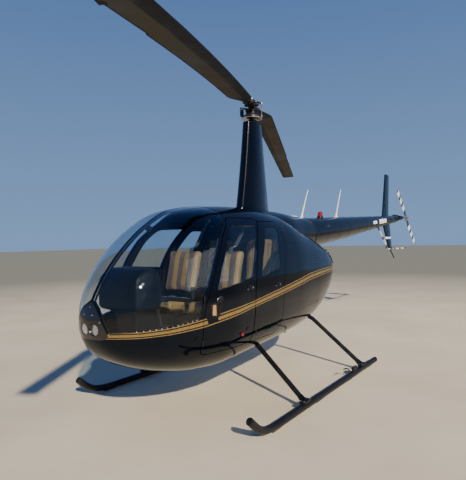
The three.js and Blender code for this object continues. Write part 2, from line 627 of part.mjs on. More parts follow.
// Main rotor, made with its blades along x and turned to its parked azimuth.
const turned = (solid, degrees) => {
  const turn = new THREE.Matrix4().makeRotationZ(THREE.MathUtils.degToRad(degrees));
  return solidOf(geometryOf(solid).applyMatrix4(turn));
};
const teetered = (solid) => {
  const turn = new THREE.Matrix4()
    .makeTranslation(0, 0, ROTOR_HUB_Z)
    .multiply(new THREE.Matrix4().makeRotationY(-THREE.MathUtils.degToRad(TEETER)))
    .multiply(new THREE.Matrix4().makeTranslation(0, 0, -ROTOR_HUB_Z));
  return solidOf(geometryOf(solid).applyMatrix4(turn));
};
const SWASH_Z = 3055;
const HUB_DEEP = 38; // from the hub's centre to its underside at the mast
const linkBars = [-1, 1].map((s) =>
  bar([0, s * 120, SWASH_Z], [s * 70, s * 128, ROTOR_HUB_Z - 12], 9, 9, 8),
);
const shaft = join(
  bar([0, 0, 2910], [0, 0, ROTOR_HUB_Z - HUB_DEEP - 3], SHAFT, SHAFT, 20),
  bar([0, 0, SWASH_Z - 20], [0, 0, SWASH_Z + 20], 135, 120, 24),
  ...linkBars,
);
piece("rotor_shaft", turned(shaft, ROTOR_AZIMUTH), look.steel);
const HUB_REACH = 235;
const hubBar = prismY(rounded([
  [-HUB_REACH, ROTOR_HUB_Z - 38], [-70, ROTOR_HUB_Z - HUB_DEEP], [70, ROTOR_HUB_Z - HUB_DEEP],
  [HUB_REACH, ROTOR_HUB_Z - 38], [HUB_REACH, ROTOR_HUB_Z + 6], [70, ROTOR_HUB_Z + 30],
  [-70, ROTOR_HUB_Z + 30], [-HUB_REACH, ROTOR_HUB_Z + 6],
]), -48, 48);
const hubTop = bar([0, 0, ROTOR_HUB_Z], [0, 0, ROTOR_TOP], 44, 36, 16);
const hubBolt = bar([0, -85, ROTOR_HUB_Z], [0, 85, ROTOR_HUB_Z], 26);
const shaftEnd = bar([0, 0, 2900], [0, 0, ROTOR_HUB_Z - HUB_DEEP - 2.5], SHAFT + 1);
const head = cut(join(teetered(join(hubBar, hubBolt)), hubTop), shaftEnd);
piece("rotor_head", turned(head, ROTOR_AZIMUTH), look.steel);

// A blade: chord-wise rings along the radius, thin at the trailing edge, hanging a little towards its tip.
const BLADE_RINGS = [
  { r: HUB_REACH + 4, chord: 100, thick: 44 },
  { r: 330, chord: 150, thick: 42 },
  { r: 520, chord: BLADE_CHORD, thick: 36 },
  { r: 1400, chord: BLADE_CHORD, thick: 31 },
  { r: BLADE_STEP, chord: BLADE_CHORD, thick: 30 },
  { r: BLADE_STEP + 40, chord: BLADE_CHORD_OUTER, thick: 30 },
  { r: ROTOR_RADIUS, chord: BLADE_CHORD_OUTER, thick: 28 },
];
function bladeRing(r, chord, thick, drop) {
  const nose = chord > 200 ? 0.27 * BLADE_CHORD : 0.27 * chord; // the leading edge runs straight outboard
  const outlinePoints = [
    [0, 0.02], [0.04, 0.32], [0.15, 0.48], [0.35, 0.5], [0.65, 0.33], [1, 0.04],
    [1, -0.04], [0.65, -0.33], [0.35, -0.5], [0.15, -0.48], [0.04, -0.32], [0, -0.02],
  ];
  return outlinePoints.map(([c, t]) => new THREE.Vector3(r, nose - c * chord, -drop + t * thick));
}
// How each parked blade hangs: slope down from the hub, and its sag for each millimetre out squared
const BLADES = [
  { name: "rotor_blade_aft", turn: 0, slope: 0.039, sag: 1.67e-6 },
  { name: "rotor_blade_forward", turn: 180, slope: 0.0992, sag: 1.089e-5 },
];
for (const { name, turn, slope, sag } of BLADES) {
  const height = (r) => ROTOR_HUB_Z - slope * r - sag * r * r;
  const blade = loft(BLADE_RINGS.map((b) => bladeRing(b.r, b.chord, b.thick, -height(b.r))));
  piece(name, turned(blade, ROTOR_AZIMUTH + turn), look.blade);
}

// Tail rotor, made with its blades along x and turned about the hub's axis.
const tailBlade = loft([[60, 70, 22], [150, TAIL_CHORD, 18], [TAIL_RADIUS, TAIL_CHORD, 12]].map(
  ([r, chord, thick]) => bladeRing(r, chord, thick, 0).map((p) => new THREE.Vector3(p.x, p.z, p.y)),
));
const tailPlaced = (solid, spin, teeter) => {
  const [a, b] = [spin, -teeter].map(THREE.MathUtils.degToRad);
  const turn = new THREE.Matrix4().makeRotationY(a).multiply(new THREE.Matrix4().makeRotationZ(b));
  return solidOf(geometryOf(solid).applyMatrix4(turn.setPosition(TAIL_HUB.x, TAIL_HUB.y, TAIL_HUB.z)));
};
piece("tail_rotor", join(
  tailPlaced(bar([0, 72, 0], [0, -42, 0], 26), 0, 0),
  tailPlaced(join(bar([-75, 0, 0], [75, 0, 0], 24), tailBlade), TAIL_BLADE_ANGLE, TAIL_TEETER),
  tailPlaced(tailBlade, TAIL_BLADE_ANGLE + 180, -TAIL_TEETER),
), look.blade);

export default craft;
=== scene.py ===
"""The finished look of a light four-seat helicopter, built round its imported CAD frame.

Lengths are metres. Shapes are worked out at stations x counted from the rotor mast, + towards the tail,
with y to starboard and z up from the ground, and add_piece moves them by MAST into the part's frame.
"""
import json
import math

import bpy
import numpy as np
from mathutils import Matrix
from mathutils.geometry import delaunay_2d_cdt


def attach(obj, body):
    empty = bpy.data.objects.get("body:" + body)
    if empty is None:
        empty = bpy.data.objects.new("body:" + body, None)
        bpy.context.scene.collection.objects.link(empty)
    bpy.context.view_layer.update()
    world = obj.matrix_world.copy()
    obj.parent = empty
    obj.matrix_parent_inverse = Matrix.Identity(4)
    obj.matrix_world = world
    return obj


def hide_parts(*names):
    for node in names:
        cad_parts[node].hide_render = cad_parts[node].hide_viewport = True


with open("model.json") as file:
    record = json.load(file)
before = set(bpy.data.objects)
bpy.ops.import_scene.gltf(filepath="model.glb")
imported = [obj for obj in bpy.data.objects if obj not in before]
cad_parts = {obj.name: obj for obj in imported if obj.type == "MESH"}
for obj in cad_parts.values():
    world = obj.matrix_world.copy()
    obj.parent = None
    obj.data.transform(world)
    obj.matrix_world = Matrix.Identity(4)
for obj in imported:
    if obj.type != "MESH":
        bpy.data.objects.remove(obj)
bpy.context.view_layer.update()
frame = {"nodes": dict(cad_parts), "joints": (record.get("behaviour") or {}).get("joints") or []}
MAST = next(j["pos_m"][0] for j in frame["joints"] if j["name"] == "main_rotor_spin")
SIDES = (("left", -1), ("right", 1))

# Camera and stage
CAMERA_AT = (-4.80972, -3.03134, 1.60639)
YAW, PITCH, ROLL = 0.6067054, -0.0015293, -0.0176893
LENS = 35.583


def set_camera():
    """Looks along yaw from +X towards +Y, with a slight pitch and roll."""
    ahead = np.array([math.cos(PITCH) * math.cos(YAW), math.cos(PITCH) * math.sin(YAW), math.sin(PITCH)])
    right = np.cross(ahead, (0, 0, 1))
    right /= np.linalg.norm(right)
    up = np.cross(right, ahead)
    across = math.cos(ROLL) * right + math.sin(ROLL) * up
    upright = math.cos(ROLL) * up - math.sin(ROLL) * right
    data = bpy.data.cameras.new("camera")
    data.lens = LENS
    data.sensor_width = 36
    data.clip_end = 300
    camera = bpy.data.objects.new("camera", data)
    turn = Matrix((across, upright, -ahead)).transposed().to_4x4()
    turn.translation = (CAMERA_AT[0] + MAST, CAMERA_AT[1], CAMERA_AT[2])
    camera.matrix_world = turn
    bpy.context.scene.collection.objects.link(camera)
    bpy.context.scene.camera = camera


set_camera()


# Materials
class Finish:
    """A node material: its record's slot, which is not used, its Principled shader, and short calls that add
    and join nodes.
    """

    def __init__(self, name, slot=None, **sockets):
        self.slot = slot
        self.material = bpy.data.materials.new(name)
        self.material.use_nodes = True
        self.tree = self.material.node_tree
        self.shader = self.tree.nodes["Principled BSDF"]
        self.surface = self.tree.nodes["Material Output"].inputs["Surface"]
        self.set(self.shader, **sockets)

    def set(self, node, **sockets):
        for key, value in sockets.items():
            node.inputs[key.replace("_", " ")].default_value = value

    def link(self, out, into):
        self.tree.links.new(out, into)

    def node(self, kind, **settings):
        node = self.tree.nodes.new("ShaderNode" + kind)
        for key, value in settings.items():
            setattr(node, key, value)
        return node

    def place(self, scale=(1, 1, 1)):
        """Object coordinates, stretched by scale."""
        coords = self.node("TexCoord")
        mapping = self.node("Mapping")
        mapping.inputs["Scale"].default_value = scale
        self.link(coords.outputs["Object"], mapping.inputs["Vector"])
        return mapping.outputs["Vector"]

    def noise(self, scale, detail=4, stretch=(1, 1, 1), rough=0.55):
        noise = self.node("TexNoise")
        self.set(noise, Scale=scale, Detail=detail, Roughness=rough)
        self.link(self.place(stretch), noise.inputs["Vector"])
        return noise.outputs["Fac"]

    def attribute(self, name):
        return self.node("Attribute", attribute_name=name).outputs["Fac"]

    def math(self, operation, a, b=None, clamp=False):
        node = self.node("Math", operation=operation, use_clamp=clamp)
        for socket, value in zip(node.inputs, (a, b)):
            if value is None:
                continue
            if isinstance(value, (int, float)):
                socket.default_value = value
            else:
                self.link(value, socket)
        return node.outputs[0]

    def between(self, value, low, high):
        """1 where value lies between low and high."""
        above = self.math("GREATER_THAN", value, low)
        return self.math("MULTIPLY", above, self.math("LESS_THAN", value, high))

    def ramp(self, value, *stops):
        """A colour ramp; each stop is a place and a colour or a grey."""
        node = self.node("ValToRGB")
        ramp = node.color_ramp
        while len(ramp.elements) < len(stops):
            ramp.elements.new(0.5)
        for element, (at, colour) in zip(ramp.elements, stops):
            element.position = at
            element.color = (*((colour,) * 3 if isinstance(colour, (int, float)) else colour), 1)
        self.link(value, node.inputs["Fac"])
        return node.outputs["Color"]

    def mix(self, factor, a, b):
        node = self.node("Mix", data_type="RGBA")
        for socket, value in zip((node.inputs["Factor"], node.inputs[6], node.inputs[7]), (factor, a, b)):
            if isinstance(value, (int, float)):
                socket.default_value = value
            elif isinstance(value, tuple):
                socket.default_value = (*value, 1)
            else:
                self.link(value, socket)
        return node.outputs[2]

    def colour(self, value):
        self.link(value, self.shader.inputs["Base Color"])
        return self

    def roughness(self, value):
        self.link(value, self.shader.inputs["Roughness"])
        return self

    def bump(self, height, strength=0.3, distance=0.001):
        bump = self.node("Bump")
        self.set(bump, Strength=strength, Distance=distance)
        self.link(height, bump.inputs["Height"])
        self.link(bump.outputs["Normal"], self.shader.inputs["Normal"])
        return self


# Shapes: a part is (points, triangles), closed, with its faces outwards
def unit(v):
    """Vectors of length 1."""
    return v / np.maximum(np.linalg.norm(v, axis=-1, keepdims=True), 1e-12)


def full_turn(count):
    """Angles spaced evenly round a full turn."""
    return np.linspace(0, 2 * np.pi, count, endpoint=False)


def run_along(path):
    """The distance run along a path at each of its points."""
    return np.concatenate([[0], np.cumsum(np.linalg.norm(np.diff(path, axis=0), axis=1))])


def outwards(points, faces):
    """The same closed part, turned inside out if its signed volume is negative."""
    a, b, c = (points[faces[:, i]] for i in range(3))
    volume = np.einsum("ij,ij->i", a, np.cross(b, c)).sum()
    return points, (faces if volume >= 0 else faces[:, ::-1])


def join(*parts):
    """Several closed parts as one list of points and triangles."""
    points, faces, count = [], [], 0
    for p, f in parts:
        points.append(p)
        faces.append(f + count)
        count += len(p)
    return np.concatenate(points), np.concatenate(faces)


def mirrored(part):
    """The part on the other side of the centre line, y to -y."""
    points, faces = part
    return points * (1, -1, 1), faces[:, ::-1]


def loft(rings):
    """A skin through rings[i, j], closed round j, with a fan of triangles to the middle of each end."""
    rings = np.asarray(rings, float)
    rows, count = rings.shape[:2]
    points = np.concatenate([rings.reshape(-1, 3), rings[:1].mean(1), rings[-1:].mean(1)])
    i, j = np.meshgrid(np.arange(rows - 1), np.arange(count), indexing="ij")
    k = (j + 1) % count
    a, b, c, d = (v.ravel() for v in (i * count + j, i * count + k, (i + 1) * count + k, (i + 1) * count + j))
    j = np.arange(count)
    k = (j + 1) % count
    first, last = rows * count, (rows - 1) * count
    faces = np.concatenate([
        np.stack([a, b, c], 1), np.stack([a, c, d], 1),
        np.stack([np.full(count, first), k, j], 1),
        np.stack([np.full(count, first + 1), last + j, last + k], 1),
    ])
    return outwards(points, faces)


def tube(path, radius, sides=14, flat=1.0):
    """Circles of the given radii, square to the path; flat squeezes them along their second axis."""
    path = np.asarray(path, float)
    along = unit(np.gradient(path, axis=0))
    side = np.eye(3)[np.abs(along).max(0).argmin()]
    u = unit(side - (along @ side)[:, None] * along)
    v = np.cross(along, u)
    a = full_turn(sides)
    r = np.broadcast_to(np.asarray(radius, float), len(path))[:, None, None]
    ring = np.cos(a)[None, :, None] * u[:, None] + flat * np.sin(a)[None, :, None] * v[:, None]
    return loft(path[:, None] + r * ring)


def rod(start, end, radius, sides, count):
    """A straight tube with so many rings."""
    start, end = np.asarray(start, float), np.asarray(end, float)
    return tube(start + np.linspace(0, 1, count)[:, None] * (end - start), radius, sides)


def spun(profile, base=(0, 0, 0), axis=(0, 0, 1), sides=32):
    """A profile of (distance along the axis, radius) carried round the axis at base."""
    profile = np.asarray(profile, float)
    axis = unit(np.asarray(axis, float))
    path = np.asarray(base, float) + profile[:, :1] * axis
    side = np.eye(3)[np.abs(axis).argmin()]
    u = unit(np.cross(axis, side))
    v = np.cross(axis, u)
    a = full_turn(sides)
    ring = np.cos(a)[:, None] * u + np.sin(a)[:, None] * v
    return loft(path[:, None] + profile[:, 1, None, None] * ring[None])


def bent(corners, steps=9):
    """Straight runs with a quadratic bend at each middle corner, x, y, z and the bend's reach."""
    at = [np.array(c[:3], float) for c in corners]
    path = [at[0][None]]
    for i in range(1, len(at) - 1):
        reach = corners[i][3]
        start = at[i] + reach * unit(at[i - 1] - at[i])
        end = at[i] + reach * unit(at[i + 1] - at[i])
        t = np.linspace(0, 1, steps)[:, None]
        path.append((1 - t) ** 2 * start + 2 * t * (1 - t) * at[i] + t**2 * end)
    return np.concatenate([*path, at[-1][None]])


def rounded(corners, steps=8):
    """A closed outline; a corner with a third number is eased by a quadratic curve that starts so far off."""
    n = len(corners)
    out = []
    for i, corner in enumerate(corners):
        here = np.array(corner[:2], float)
        if len(corner) < 3:
            out.append(here[None])
            continue
        before, after = (np.array(corners[k % n][:2], float) for k in (i - 1, i + 1))
        start = here + corner[2] * unit(before - here)
        end = here + corner[2] * unit(after - here)
        t = np.linspace(0, 1, steps)[:, None]
        out.append((1 - t) ** 2 * start + 2 * t * (1 - t) * here + t**2 * end)
    return np.concatenate(out)


def grown(outline, d):
    """A closed outline moved outwards by d along its corners' bisectors."""
    before = unit(outline - np.roll(outline, 1, 0))
    after = unit(np.roll(outline, -1, 0) - outline)
    x, z = outline.T
    side = np.sign((x * np.roll(z, -1) - z * np.roll(x, -1)).sum())
    bisector = unit(np.stack([before[:, 1] + after[:, 1], -before[:, 0] - after[:, 0]], 1))
    square = np.stack([before[:, 1], -before[:, 0]], 1)
    stretch = 1 / np.maximum(0.5, (bisector * square).sum(1))
    return outline + side * d * stretch[:, None] * bisector


def dense(outline, step=0.012, closed=True):
    """The outline with points added so that none of its runs is longer than step."""
    ends = np.roll(outline, -1, 0) if closed else outline[1:]
    starts = outline if closed else outline[:-1]
    runs = []
    for a, b in zip(starts, ends):
        n = max(1, math.ceil(np.linalg.norm(b - a) / step))
        runs.append(a + (b - a) * (np.arange(n) / n)[:, None])
    return np.concatenate(runs if closed else [*runs, outline[-1:]])


def within(outline, a, b):
    """For points (a, b), whether each lies inside the closed outline, by counting crossings."""
    inside = np.zeros(np.shape(a), bool)
    for (x0, y0), (x1, y1) in zip(outline, np.roll(outline, -1, 0)):
        if y0 == y1:
            continue
        cross = (b > min(y0, y1)) & (b <= max(y0, y1)) & (a < x0 + (b - y0) * (x1 - x0) / (y1 - y0))
        inside ^= cross
    return inside


def eased_curve(s, v, last=1.0):
    """Cubic pieces through v over s, whose slopes are the harmonic mean of the rises on each side, so that
    they never overshoot; last scales the slope at the end."""
    s, v = np.asarray(s, float), np.asarray(v, float)
    rise = np.diff(v) / np.diff(s)
    a, b = rise[:-1], rise[1:]
    same = a * b > 0
    middle = np.where(same, 2 * a * b / np.where(same, a + b, 1), 0)
    slope = np.concatenate([rise[:1], middle, rise[-1:] * last])

    def at(q):
        i = np.clip(np.searchsorted(s, q, side="right") - 1, 0, len(rise) - 1)
        h = s[i + 1] - s[i]
        t = (q - s[i]) / h
        u = 1 - t
        return (v[i] * u * u * (1 + 2 * t) + slope[i] * h * t * u * u
                + v[i + 1] * t * t * (3 - 2 * t) - slope[i + 1] * h * t * t * u)

    return at


def eased_rows(table, steps):
    """A table's rows, its first column rising, drawn out to so many rows on eased curves."""
    table = np.asarray(table, float)
    s = np.linspace(table[0, 0], table[-1, 0], steps)
    return np.stack([s, *(eased_curve(table[:, 0], table[:, k])(s) for k in range(1, table.shape[1]))], 1)


def slab(outline, y0, y1, ease=0.0):
    """A flat plate with a side view outline (x, z) between y0 and y1, its edges eased by a quarter round."""
    quarter = np.linspace(0, np.pi / 2, 5) if ease else np.array([0.0])
    insets = [(ease * (1 - np.sin(t)), ease * (1 - np.cos(t))) for t in quarter]
    rings = [(grown(outline, -shrink), y0 + rise) for shrink, rise in insets]
    rings += [(grown(outline, -shrink), y1 - rise) for shrink, rise in insets[::-1]]
    return loft([np.stack([line[:, 0], np.full(len(line), y), line[:, 1]], 1) for line, y in rings])


def block(x0, x1, y0, y1, z0, z1, ease=0.004):
    """A box with eased edges."""
    return slab(rounded([(x0, z0, ease), (x1, z0, ease), (x1, z1, ease), (x0, z1, ease)], 4), y0, y1, ease)


def moved(part, turn, shift=(0, 0, 0)):
    """The part turned by a 3x3 matrix and shifted."""
    points, faces = part
    return points @ turn.T + np.asarray(shift), faces


def turn_about(axis, degrees):
    """The 3x3 matrix of a turn about an axis."""
    return np.array(Matrix.Rotation(math.radians(degrees), 3, axis))


SHARP = 38  # degrees between faces past which an edge is drawn sharp


def add_piece(name, part, finish, replaces=(), body="airframe", normals=None, marks=None,
              sharp=SHARP, lining=None):
    """normals gives a normal for each corner of each triangle, marks an attribute's value for each point, and
    lining a second finish and the mask of its faces."""
    points, faces = part
    mesh = bpy.data.meshes.new(name)
    mesh.from_pydata((points + (MAST, 0, 0)).tolist(), [], faces.tolist())
    mesh.polygons.foreach_set("use_smooth", np.ones(len(faces), bool))
    for mark, values in (marks or {}).items():
        mesh.attributes.new(mark, "FLOAT", "POINT").data.foreach_set("value", np.asarray(values, np.float32))
    if normals is None:
        mesh.set_sharp_from_angle(angle=math.radians(sharp))
    else:
        mesh.normals_split_custom_set(normals.reshape(-1, 3).tolist())
    mesh.materials.append(finish.material)
    if lining:
        mesh.materials.append(lining[0].material)
        mesh.polygons.foreach_set("material_index", lining[1].astype(np.int32))
    piece = bpy.data.objects.new(name, mesh)
    bpy.context.scene.collection.objects.link(piece)
    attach(piece, body)
    if replaces:
        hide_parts(*replaces)
    return piece


# The body: the same sections and curves as the CAD, in metres
NOSE, TAIL = -2.44, 1.78
NOSE_REAR, NOSE_SEARCH = -2.1, -1.6  # where front view outlines end, and the last station tried for them
BODY = np.array([
    # station, top, bottom, half width, height of the widest point
    (NOSE, 0.980, 0.980, 0.000, 0.980),
    (-2.400, 1.130, 0.815, 0.160, 0.980),
    (-2.300, 1.295, 0.685, 0.275, 0.980),
    (-2.100, 1.520, 0.565, 0.415, 0.975),
    (-1.800, 1.750, 0.465, 0.535, 0.975),
    (-1.500, 1.890, 0.405, 0.600, 0.985),
    (-1.200, 1.935, 0.385, 0.635, 0.995),
    (-0.600, 1.960, 0.420, 0.638, 1.000),
    (0.000, 1.912, 0.450, 0.614, 1.020),
    (0.600, 1.755, 0.500, 0.552, 1.055),
    (0.900, 1.670, 0.565, 0.510, 1.095),
    (1.200, 1.570, 0.690, 0.455, 1.150),
    (1.500, 1.450, 0.865, 0.360, 1.190),
    (1.700, 1.340, 1.045, 0.220, 1.215),
    (TAIL, 1.225, 1.225, 0.000, 1.225),
])
ROUND_TOP, ROUND_BOTTOM = 2.6, 2.55  # exponents of the section's upper and lower half
SKIN = 0.03
PANE = (0.002, 0.008)  # depth of a window pane's two faces under the body's surface


def body_curve(column):
    """The section's value over the root of the distance from the nose, so that the nose is round."""
    curve = eased_curve(np.sqrt(BODY[:, 0] - NOSE), BODY[:, column], 1.5)
    return lambda x: curve(np.sqrt(np.maximum(np.asarray(x, float) - NOSE, 0)))


body_top, body_bottom, body_half, body_mid = (body_curve(k) for k in (1, 2, 3, 4))


def section(x, up):
    """The section at x: middle height, half width, height of the wanted half, and its exponent."""
    mid = body_mid(x)
    tall = np.where(up, body_top(x) - mid, mid - body_bottom(x))
    return mid, np.maximum(body_half(x), 1e-4), np.maximum(tall, 1e-4), np.where(up, ROUND_TOP, ROUND_BOTTOM)


def body_at(x, angle):
    """The body's surface where a line leaves the section's middle at that angle from starboard."""
    c, s = np.cos(angle), np.sin(angle)
    c = np.where(np.abs(c) < 1e-9, 0, c)
    mid, half, tall, n = section(x, s >= 0)
    r = (np.abs(c / half) ** n + np.abs(s / tall) ** n) ** (-1 / n)
    return np.stack([np.broadcast_to(x, r.shape), r * c, mid + r * s], -1)


def body_level(x, y, z):
    """1 on the body's surface, less inside it."""
    mid, half, tall, n = section(x, z >= body_mid(x))
    return np.abs(y / half) ** n + np.abs((z - mid) / tall) ** n


def body_normal(p, d=5e-4):
    """The outward normal: the slope of the level along x, y and z."""
    x, y, z = p[..., 0], p[..., 1], p[..., 2]
    mid, half, tall, n = section(x, z >= body_mid(x))
    gx = (body_level(x + d, y, z) - body_level(np.maximum(x - d, NOSE + 1e-6), y, z)) / (2 * d)
    gy = np.sign(y) * n * np.abs(y / half) ** (n - 1) / half
    gz = np.sign(z - mid) * n * np.abs((z - mid) / tall) ** (n - 1) / tall
    return unit(np.stack([gx, gy, gz], -1))


def side_y(x, z):
    """How far out the body's side is at a place in side view; 0 above the roof and under the belly."""
    mid, half, tall, n = section(x, z >= body_mid(x))
    return half * np.maximum(0, 1 - np.abs((z - mid) / tall) ** n) ** (1 / n)


# The body's skin is cut into panels on a plane: u is the run along its side, v its angle times GIRTH
GIRTH = 0.62
_s = np.linspace(0, math.sqrt(TAIL - NOSE), 2000)
_line = np.stack([_s**2 + NOSE, body_half(_s**2 + NOSE)], 1)
_run = run_along(_line)
QUARTER = GIRTH * math.pi / 2


def to_plane(x, y, z):
    """Places of the surface as (u, v)."""
    return np.stack([np.interp(x, _line[:, 0], _run), GIRTH * np.arctan2(z - body_mid(x), y)], -1)


def from_plane(uv):
    """Places (u, v) as points of the surface."""
    x = np.interp(uv[..., 0], _run, _line[:, 0])
    v = uv[..., 1]
    angle = np.where(np.abs(np.abs(v) - QUARTER) < 1e-7, np.sign(v) * np.pi / 2, v / GIRTH)
    return body_at(x, angle)


def side_line(outline):
    """A side view outline (x, z) laid on the plane."""
    x, z = dense(outline).T
    x = np.clip(x, NOSE + 1e-4, TAIL - 1e-4)
    z = np.clip(z, body_bottom(x), body_top(x))
    return to_plane(x, side_y(x, z), z)


def front_line(outline):
    """A front view outline (y, z) of the nose laid on the plane, starboard half."""
    y, z = dense(outline).T
    return to_plane(nose_x(y, z), np.abs(y), z)


def level_x(y, z, low, high, tail):
    """The station between low and high at which the nose or the tail is met at (y, z), by halving."""
    low, high = np.full(np.shape(y), low), np.full(np.shape(y), high)
    for _ in range(40):
        mid = (low + high) / 2
        further_aft = (body_level(mid, np.abs(y), z) > 1) != tail
        low, high = np.where(further_aft, mid, low), np.where(further_aft, high, mid)
    return (low + high) / 2


def nose_x(y, z):
    """The nose's station at (y, z)."""
    return level_x(y, z, NOSE + 1e-7, NOSE_SEARCH, False)


def triangulated(lines, keep, step, edges_closed):
    """Points of a square grid and of the given lines on the plane, joined by constrained Delaunay triangles;
    those whose middle passes keep are returned."""
    both = np.concatenate(lines)
    low, high = both.min(0), both.max(0)
    grid = np.stack(np.meshgrid(*(np.arange(low[i] + step / 2, high[i], step) for i in (0, 1))), -1)
    grid = grid.reshape(-1, 2)
    grid = grid[keep(grid)]
    edges, count = [], 0
    for line, closed in zip(lines, edges_closed):
        i = np.arange(count, count + len(line))
        edges.append(np.stack([i, np.roll(i, -1)], 1)[: None if closed else -1])
        count += len(line)
    both = np.concatenate([both, grid])
    verts, _, faces, *_ = delaunay_2d_cdt(both.tolist(), np.concatenate(edges).tolist(), [], 0, 1e-6)
    plane = np.array([tuple(v) for v in verts])
    faces = np.array([f for f in faces if len(f) == 3])
    faces = faces[keep(plane[faces].mean(1))]
    used, faces = np.unique(faces, return_inverse=True)
    return plane[used], faces.reshape(-1, 3)


def faced(surface, normal, faces):
    """The triangles, each turned to face along its first corner's normal."""
    a, b, c = (surface[faces[:, i]] for i in range(3))
    facing = np.einsum("ij,ij->i", np.cross(b - a, c - a), normal[faces[:, 0]])
    return np.where(facing[:, None] < 0, faces[:, ::-1], faces)


def walled(surface, normal, faces, depths, open_seam=False):
    """A sheet of triangles made a closed wall between two depths under the surface, with a rim.

    Returns the part and a normal for each triangle's corner: smooth on the two faces, square on the rim.
    With open_seam, an edge on the centre line gets no rim, because the other half is joined to it there."""
    count = len(surface)
    points = np.concatenate([surface - depths[0] * normal, surface - depths[1] * normal])
    edges = np.concatenate([faces[:, [0, 1]], faces[:, [1, 2]], faces[:, [2, 0]]])
    keys = np.sort(edges, 1) @ (count, 1)
    _, first, times = np.unique(keys, return_index=True, return_counts=True)
    rim = edges[first[times == 1]]
    if open_seam:
        rim = rim[np.abs(surface[rim, 1]).max(1) > 1e-6]
    a, b = rim.T
    walls = np.concatenate([np.stack([b, a, a + count], 1), np.stack([b, a + count, b + count], 1)])
    p, q, r = (points[walls[:, i]] for i in range(3))
    square = unit(np.cross(q - p, r - p))[:, None].repeat(3, 1)
    every = np.concatenate([faces, faces[:, ::-1] + count, walls])
    normals = np.concatenate([normal[faces], -normal[faces[:, ::-1]], square])
    return (points, every), normals


def skin_panel(lines, keep, depths=(0.0, SKIN), step=0.03, closed=None, open_seam=False):
    """A piece of the starboard half of the body's skin, bounded by lines on the plane."""
    closed = closed or [True] * len(lines)
    plane, faces = triangulated(lines, lambda uv: keep(from_plane(uv)), step, closed)
    surface = from_plane(plane)
    normal = body_normal(surface)
    return walled(surface, normal, faced(surface, normal, faces), depths, open_seam)


def port(panel):
    """The same panel on the port side."""
    part, normals = panel
    return mirrored(part), (normals * (1, -1, 1))[:, ::-1]


def both_halves(panel):
    """The panel and its mirror image, welded along the centre line."""
    (p, f), n = panel
    (pm, fm), nm = port(panel)
    points = np.concatenate([p, pm])
    faces = np.concatenate([f, fm + len(p)])
    _, first, again = np.unique(np.round(points, 6) + 0.0, axis=0, return_index=True, return_inverse=True)
    faces = again.ravel()[faces]
    whole = (faces[:, 0] != faces[:, 1]) & (faces[:, 1] != faces[:, 2]) & (faces[:, 2] != faces[:, 0])
    return (points[first], faces[whole]), np.concatenate([n, nm])[whole]


FRONT_DOOR = rounded([
    (-1.69, 0.62, 0.09), (-1.7, 0.954), (-1.66, 1.075), (-1.58, 1.262), (-1.485, 1.445), (-1.365, 1.62),
    (-1.15, 1.815, 0.06), (-0.64, 1.815, 0.03), (-0.823, 1.595), (-0.921, 1.402), (-0.982, 1.168),
    (-1.009, 0.962), (-1.009, 0.62, 0.06),
])
REAR_DOOR = rounded([
    (-1.003, 0.62, 0.06), (-1.003, 0.962), (-0.976, 1.168), (-0.915, 1.402), (-0.817, 1.595),
    (-0.655, 1.79, 0.03), (-0.215, 1.79, 0.09), (-0.268, 1.539), (-0.346, 1.349), (-0.396, 1.231),
    (-0.443, 1.019), (-0.455, 0.62, 0.09),
])
FRONT_WINDOW = rounded([
    (-1.54, 1.165, 0.03), (-1.459, 1.357), (-1.371, 1.494), (-1.298, 1.61), (-1.165, 1.735, 0.06),
    (-0.735, 1.745, 0.03), (-0.865, 1.546), (-0.949, 1.385), (-1.006, 1.246, 0.03),
])
REAR_WINDOW = rounded([
    (-0.872, 1.24, 0.03), (-0.799, 1.417), (-0.684, 1.593), (-0.59, 1.722, 0.04), (-0.32, 1.722, 0.05),
    (-0.348, 1.665), (-0.442, 1.48), (-0.49, 1.297, 0.03),
])
WINDSHIELD = rounded([
    (-2.6, 0.893), (-2.301, 0.898), (-2.152, 0.904), (-1.989, 0.916), (-1.735, 0.945, 0.02),
    (-1.7, 1.075), (-1.622, 1.262), (-1.527, 1.445), (-1.407, 1.62), (-1.215, 1.79), (-1.18, 1.86),
    (-1.18, 2.05), (-2.6, 2.05),
])
NOSE_CAP = rounded([
    (0.0, 1.14), (0.072, 1.088), (0.119, 1.022), (0.159, 0.916), (0.17, 0.868, 0.01), (0.12, 0.845, 0.02),
    (-0.12, 0.845, 0.02), (-0.17, 0.868, 0.01), (-0.159, 0.916), (-0.119, 1.022), (-0.072, 1.088),
])
DOOR_GAP = 0.0035  # half of the gap round a door
PANE_GAP = 0.001  # gap round a window pane
POST_HALF = 0.016  # half the centre post's width
CAP_FRAME = 0.018  # width of the frame round the nose cap
CABIN_END, TAIL_SEAM = -0.155, 1.28
BELLY_TOP, BELLY_FRONT = 0.56, -1.9
HAIR = 0.0006  # half of a seam between fixed panels

# Gold stripe along the body: heights of its upper and lower edge at stations in side view
STRIPE = np.array([
    (-2.60, 0.9045, 0.862), (-2.377, 0.904, 0.856), (-2.215, 0.899, 0.847), (-1.989, 0.908, 0.851),
    (-1.685, 0.943, 0.871), (-1.394, 0.983, 0.908), (-1.015, 1.024, 0.962), (-0.410, 1.106, 1.033),
    (0.296, 1.193, 1.113), (0.679, 1.212, 1.131), (1.056, 1.220, 1.146), (1.348, 1.216, 1.147),
    (1.780, 1.210, 1.150),
])
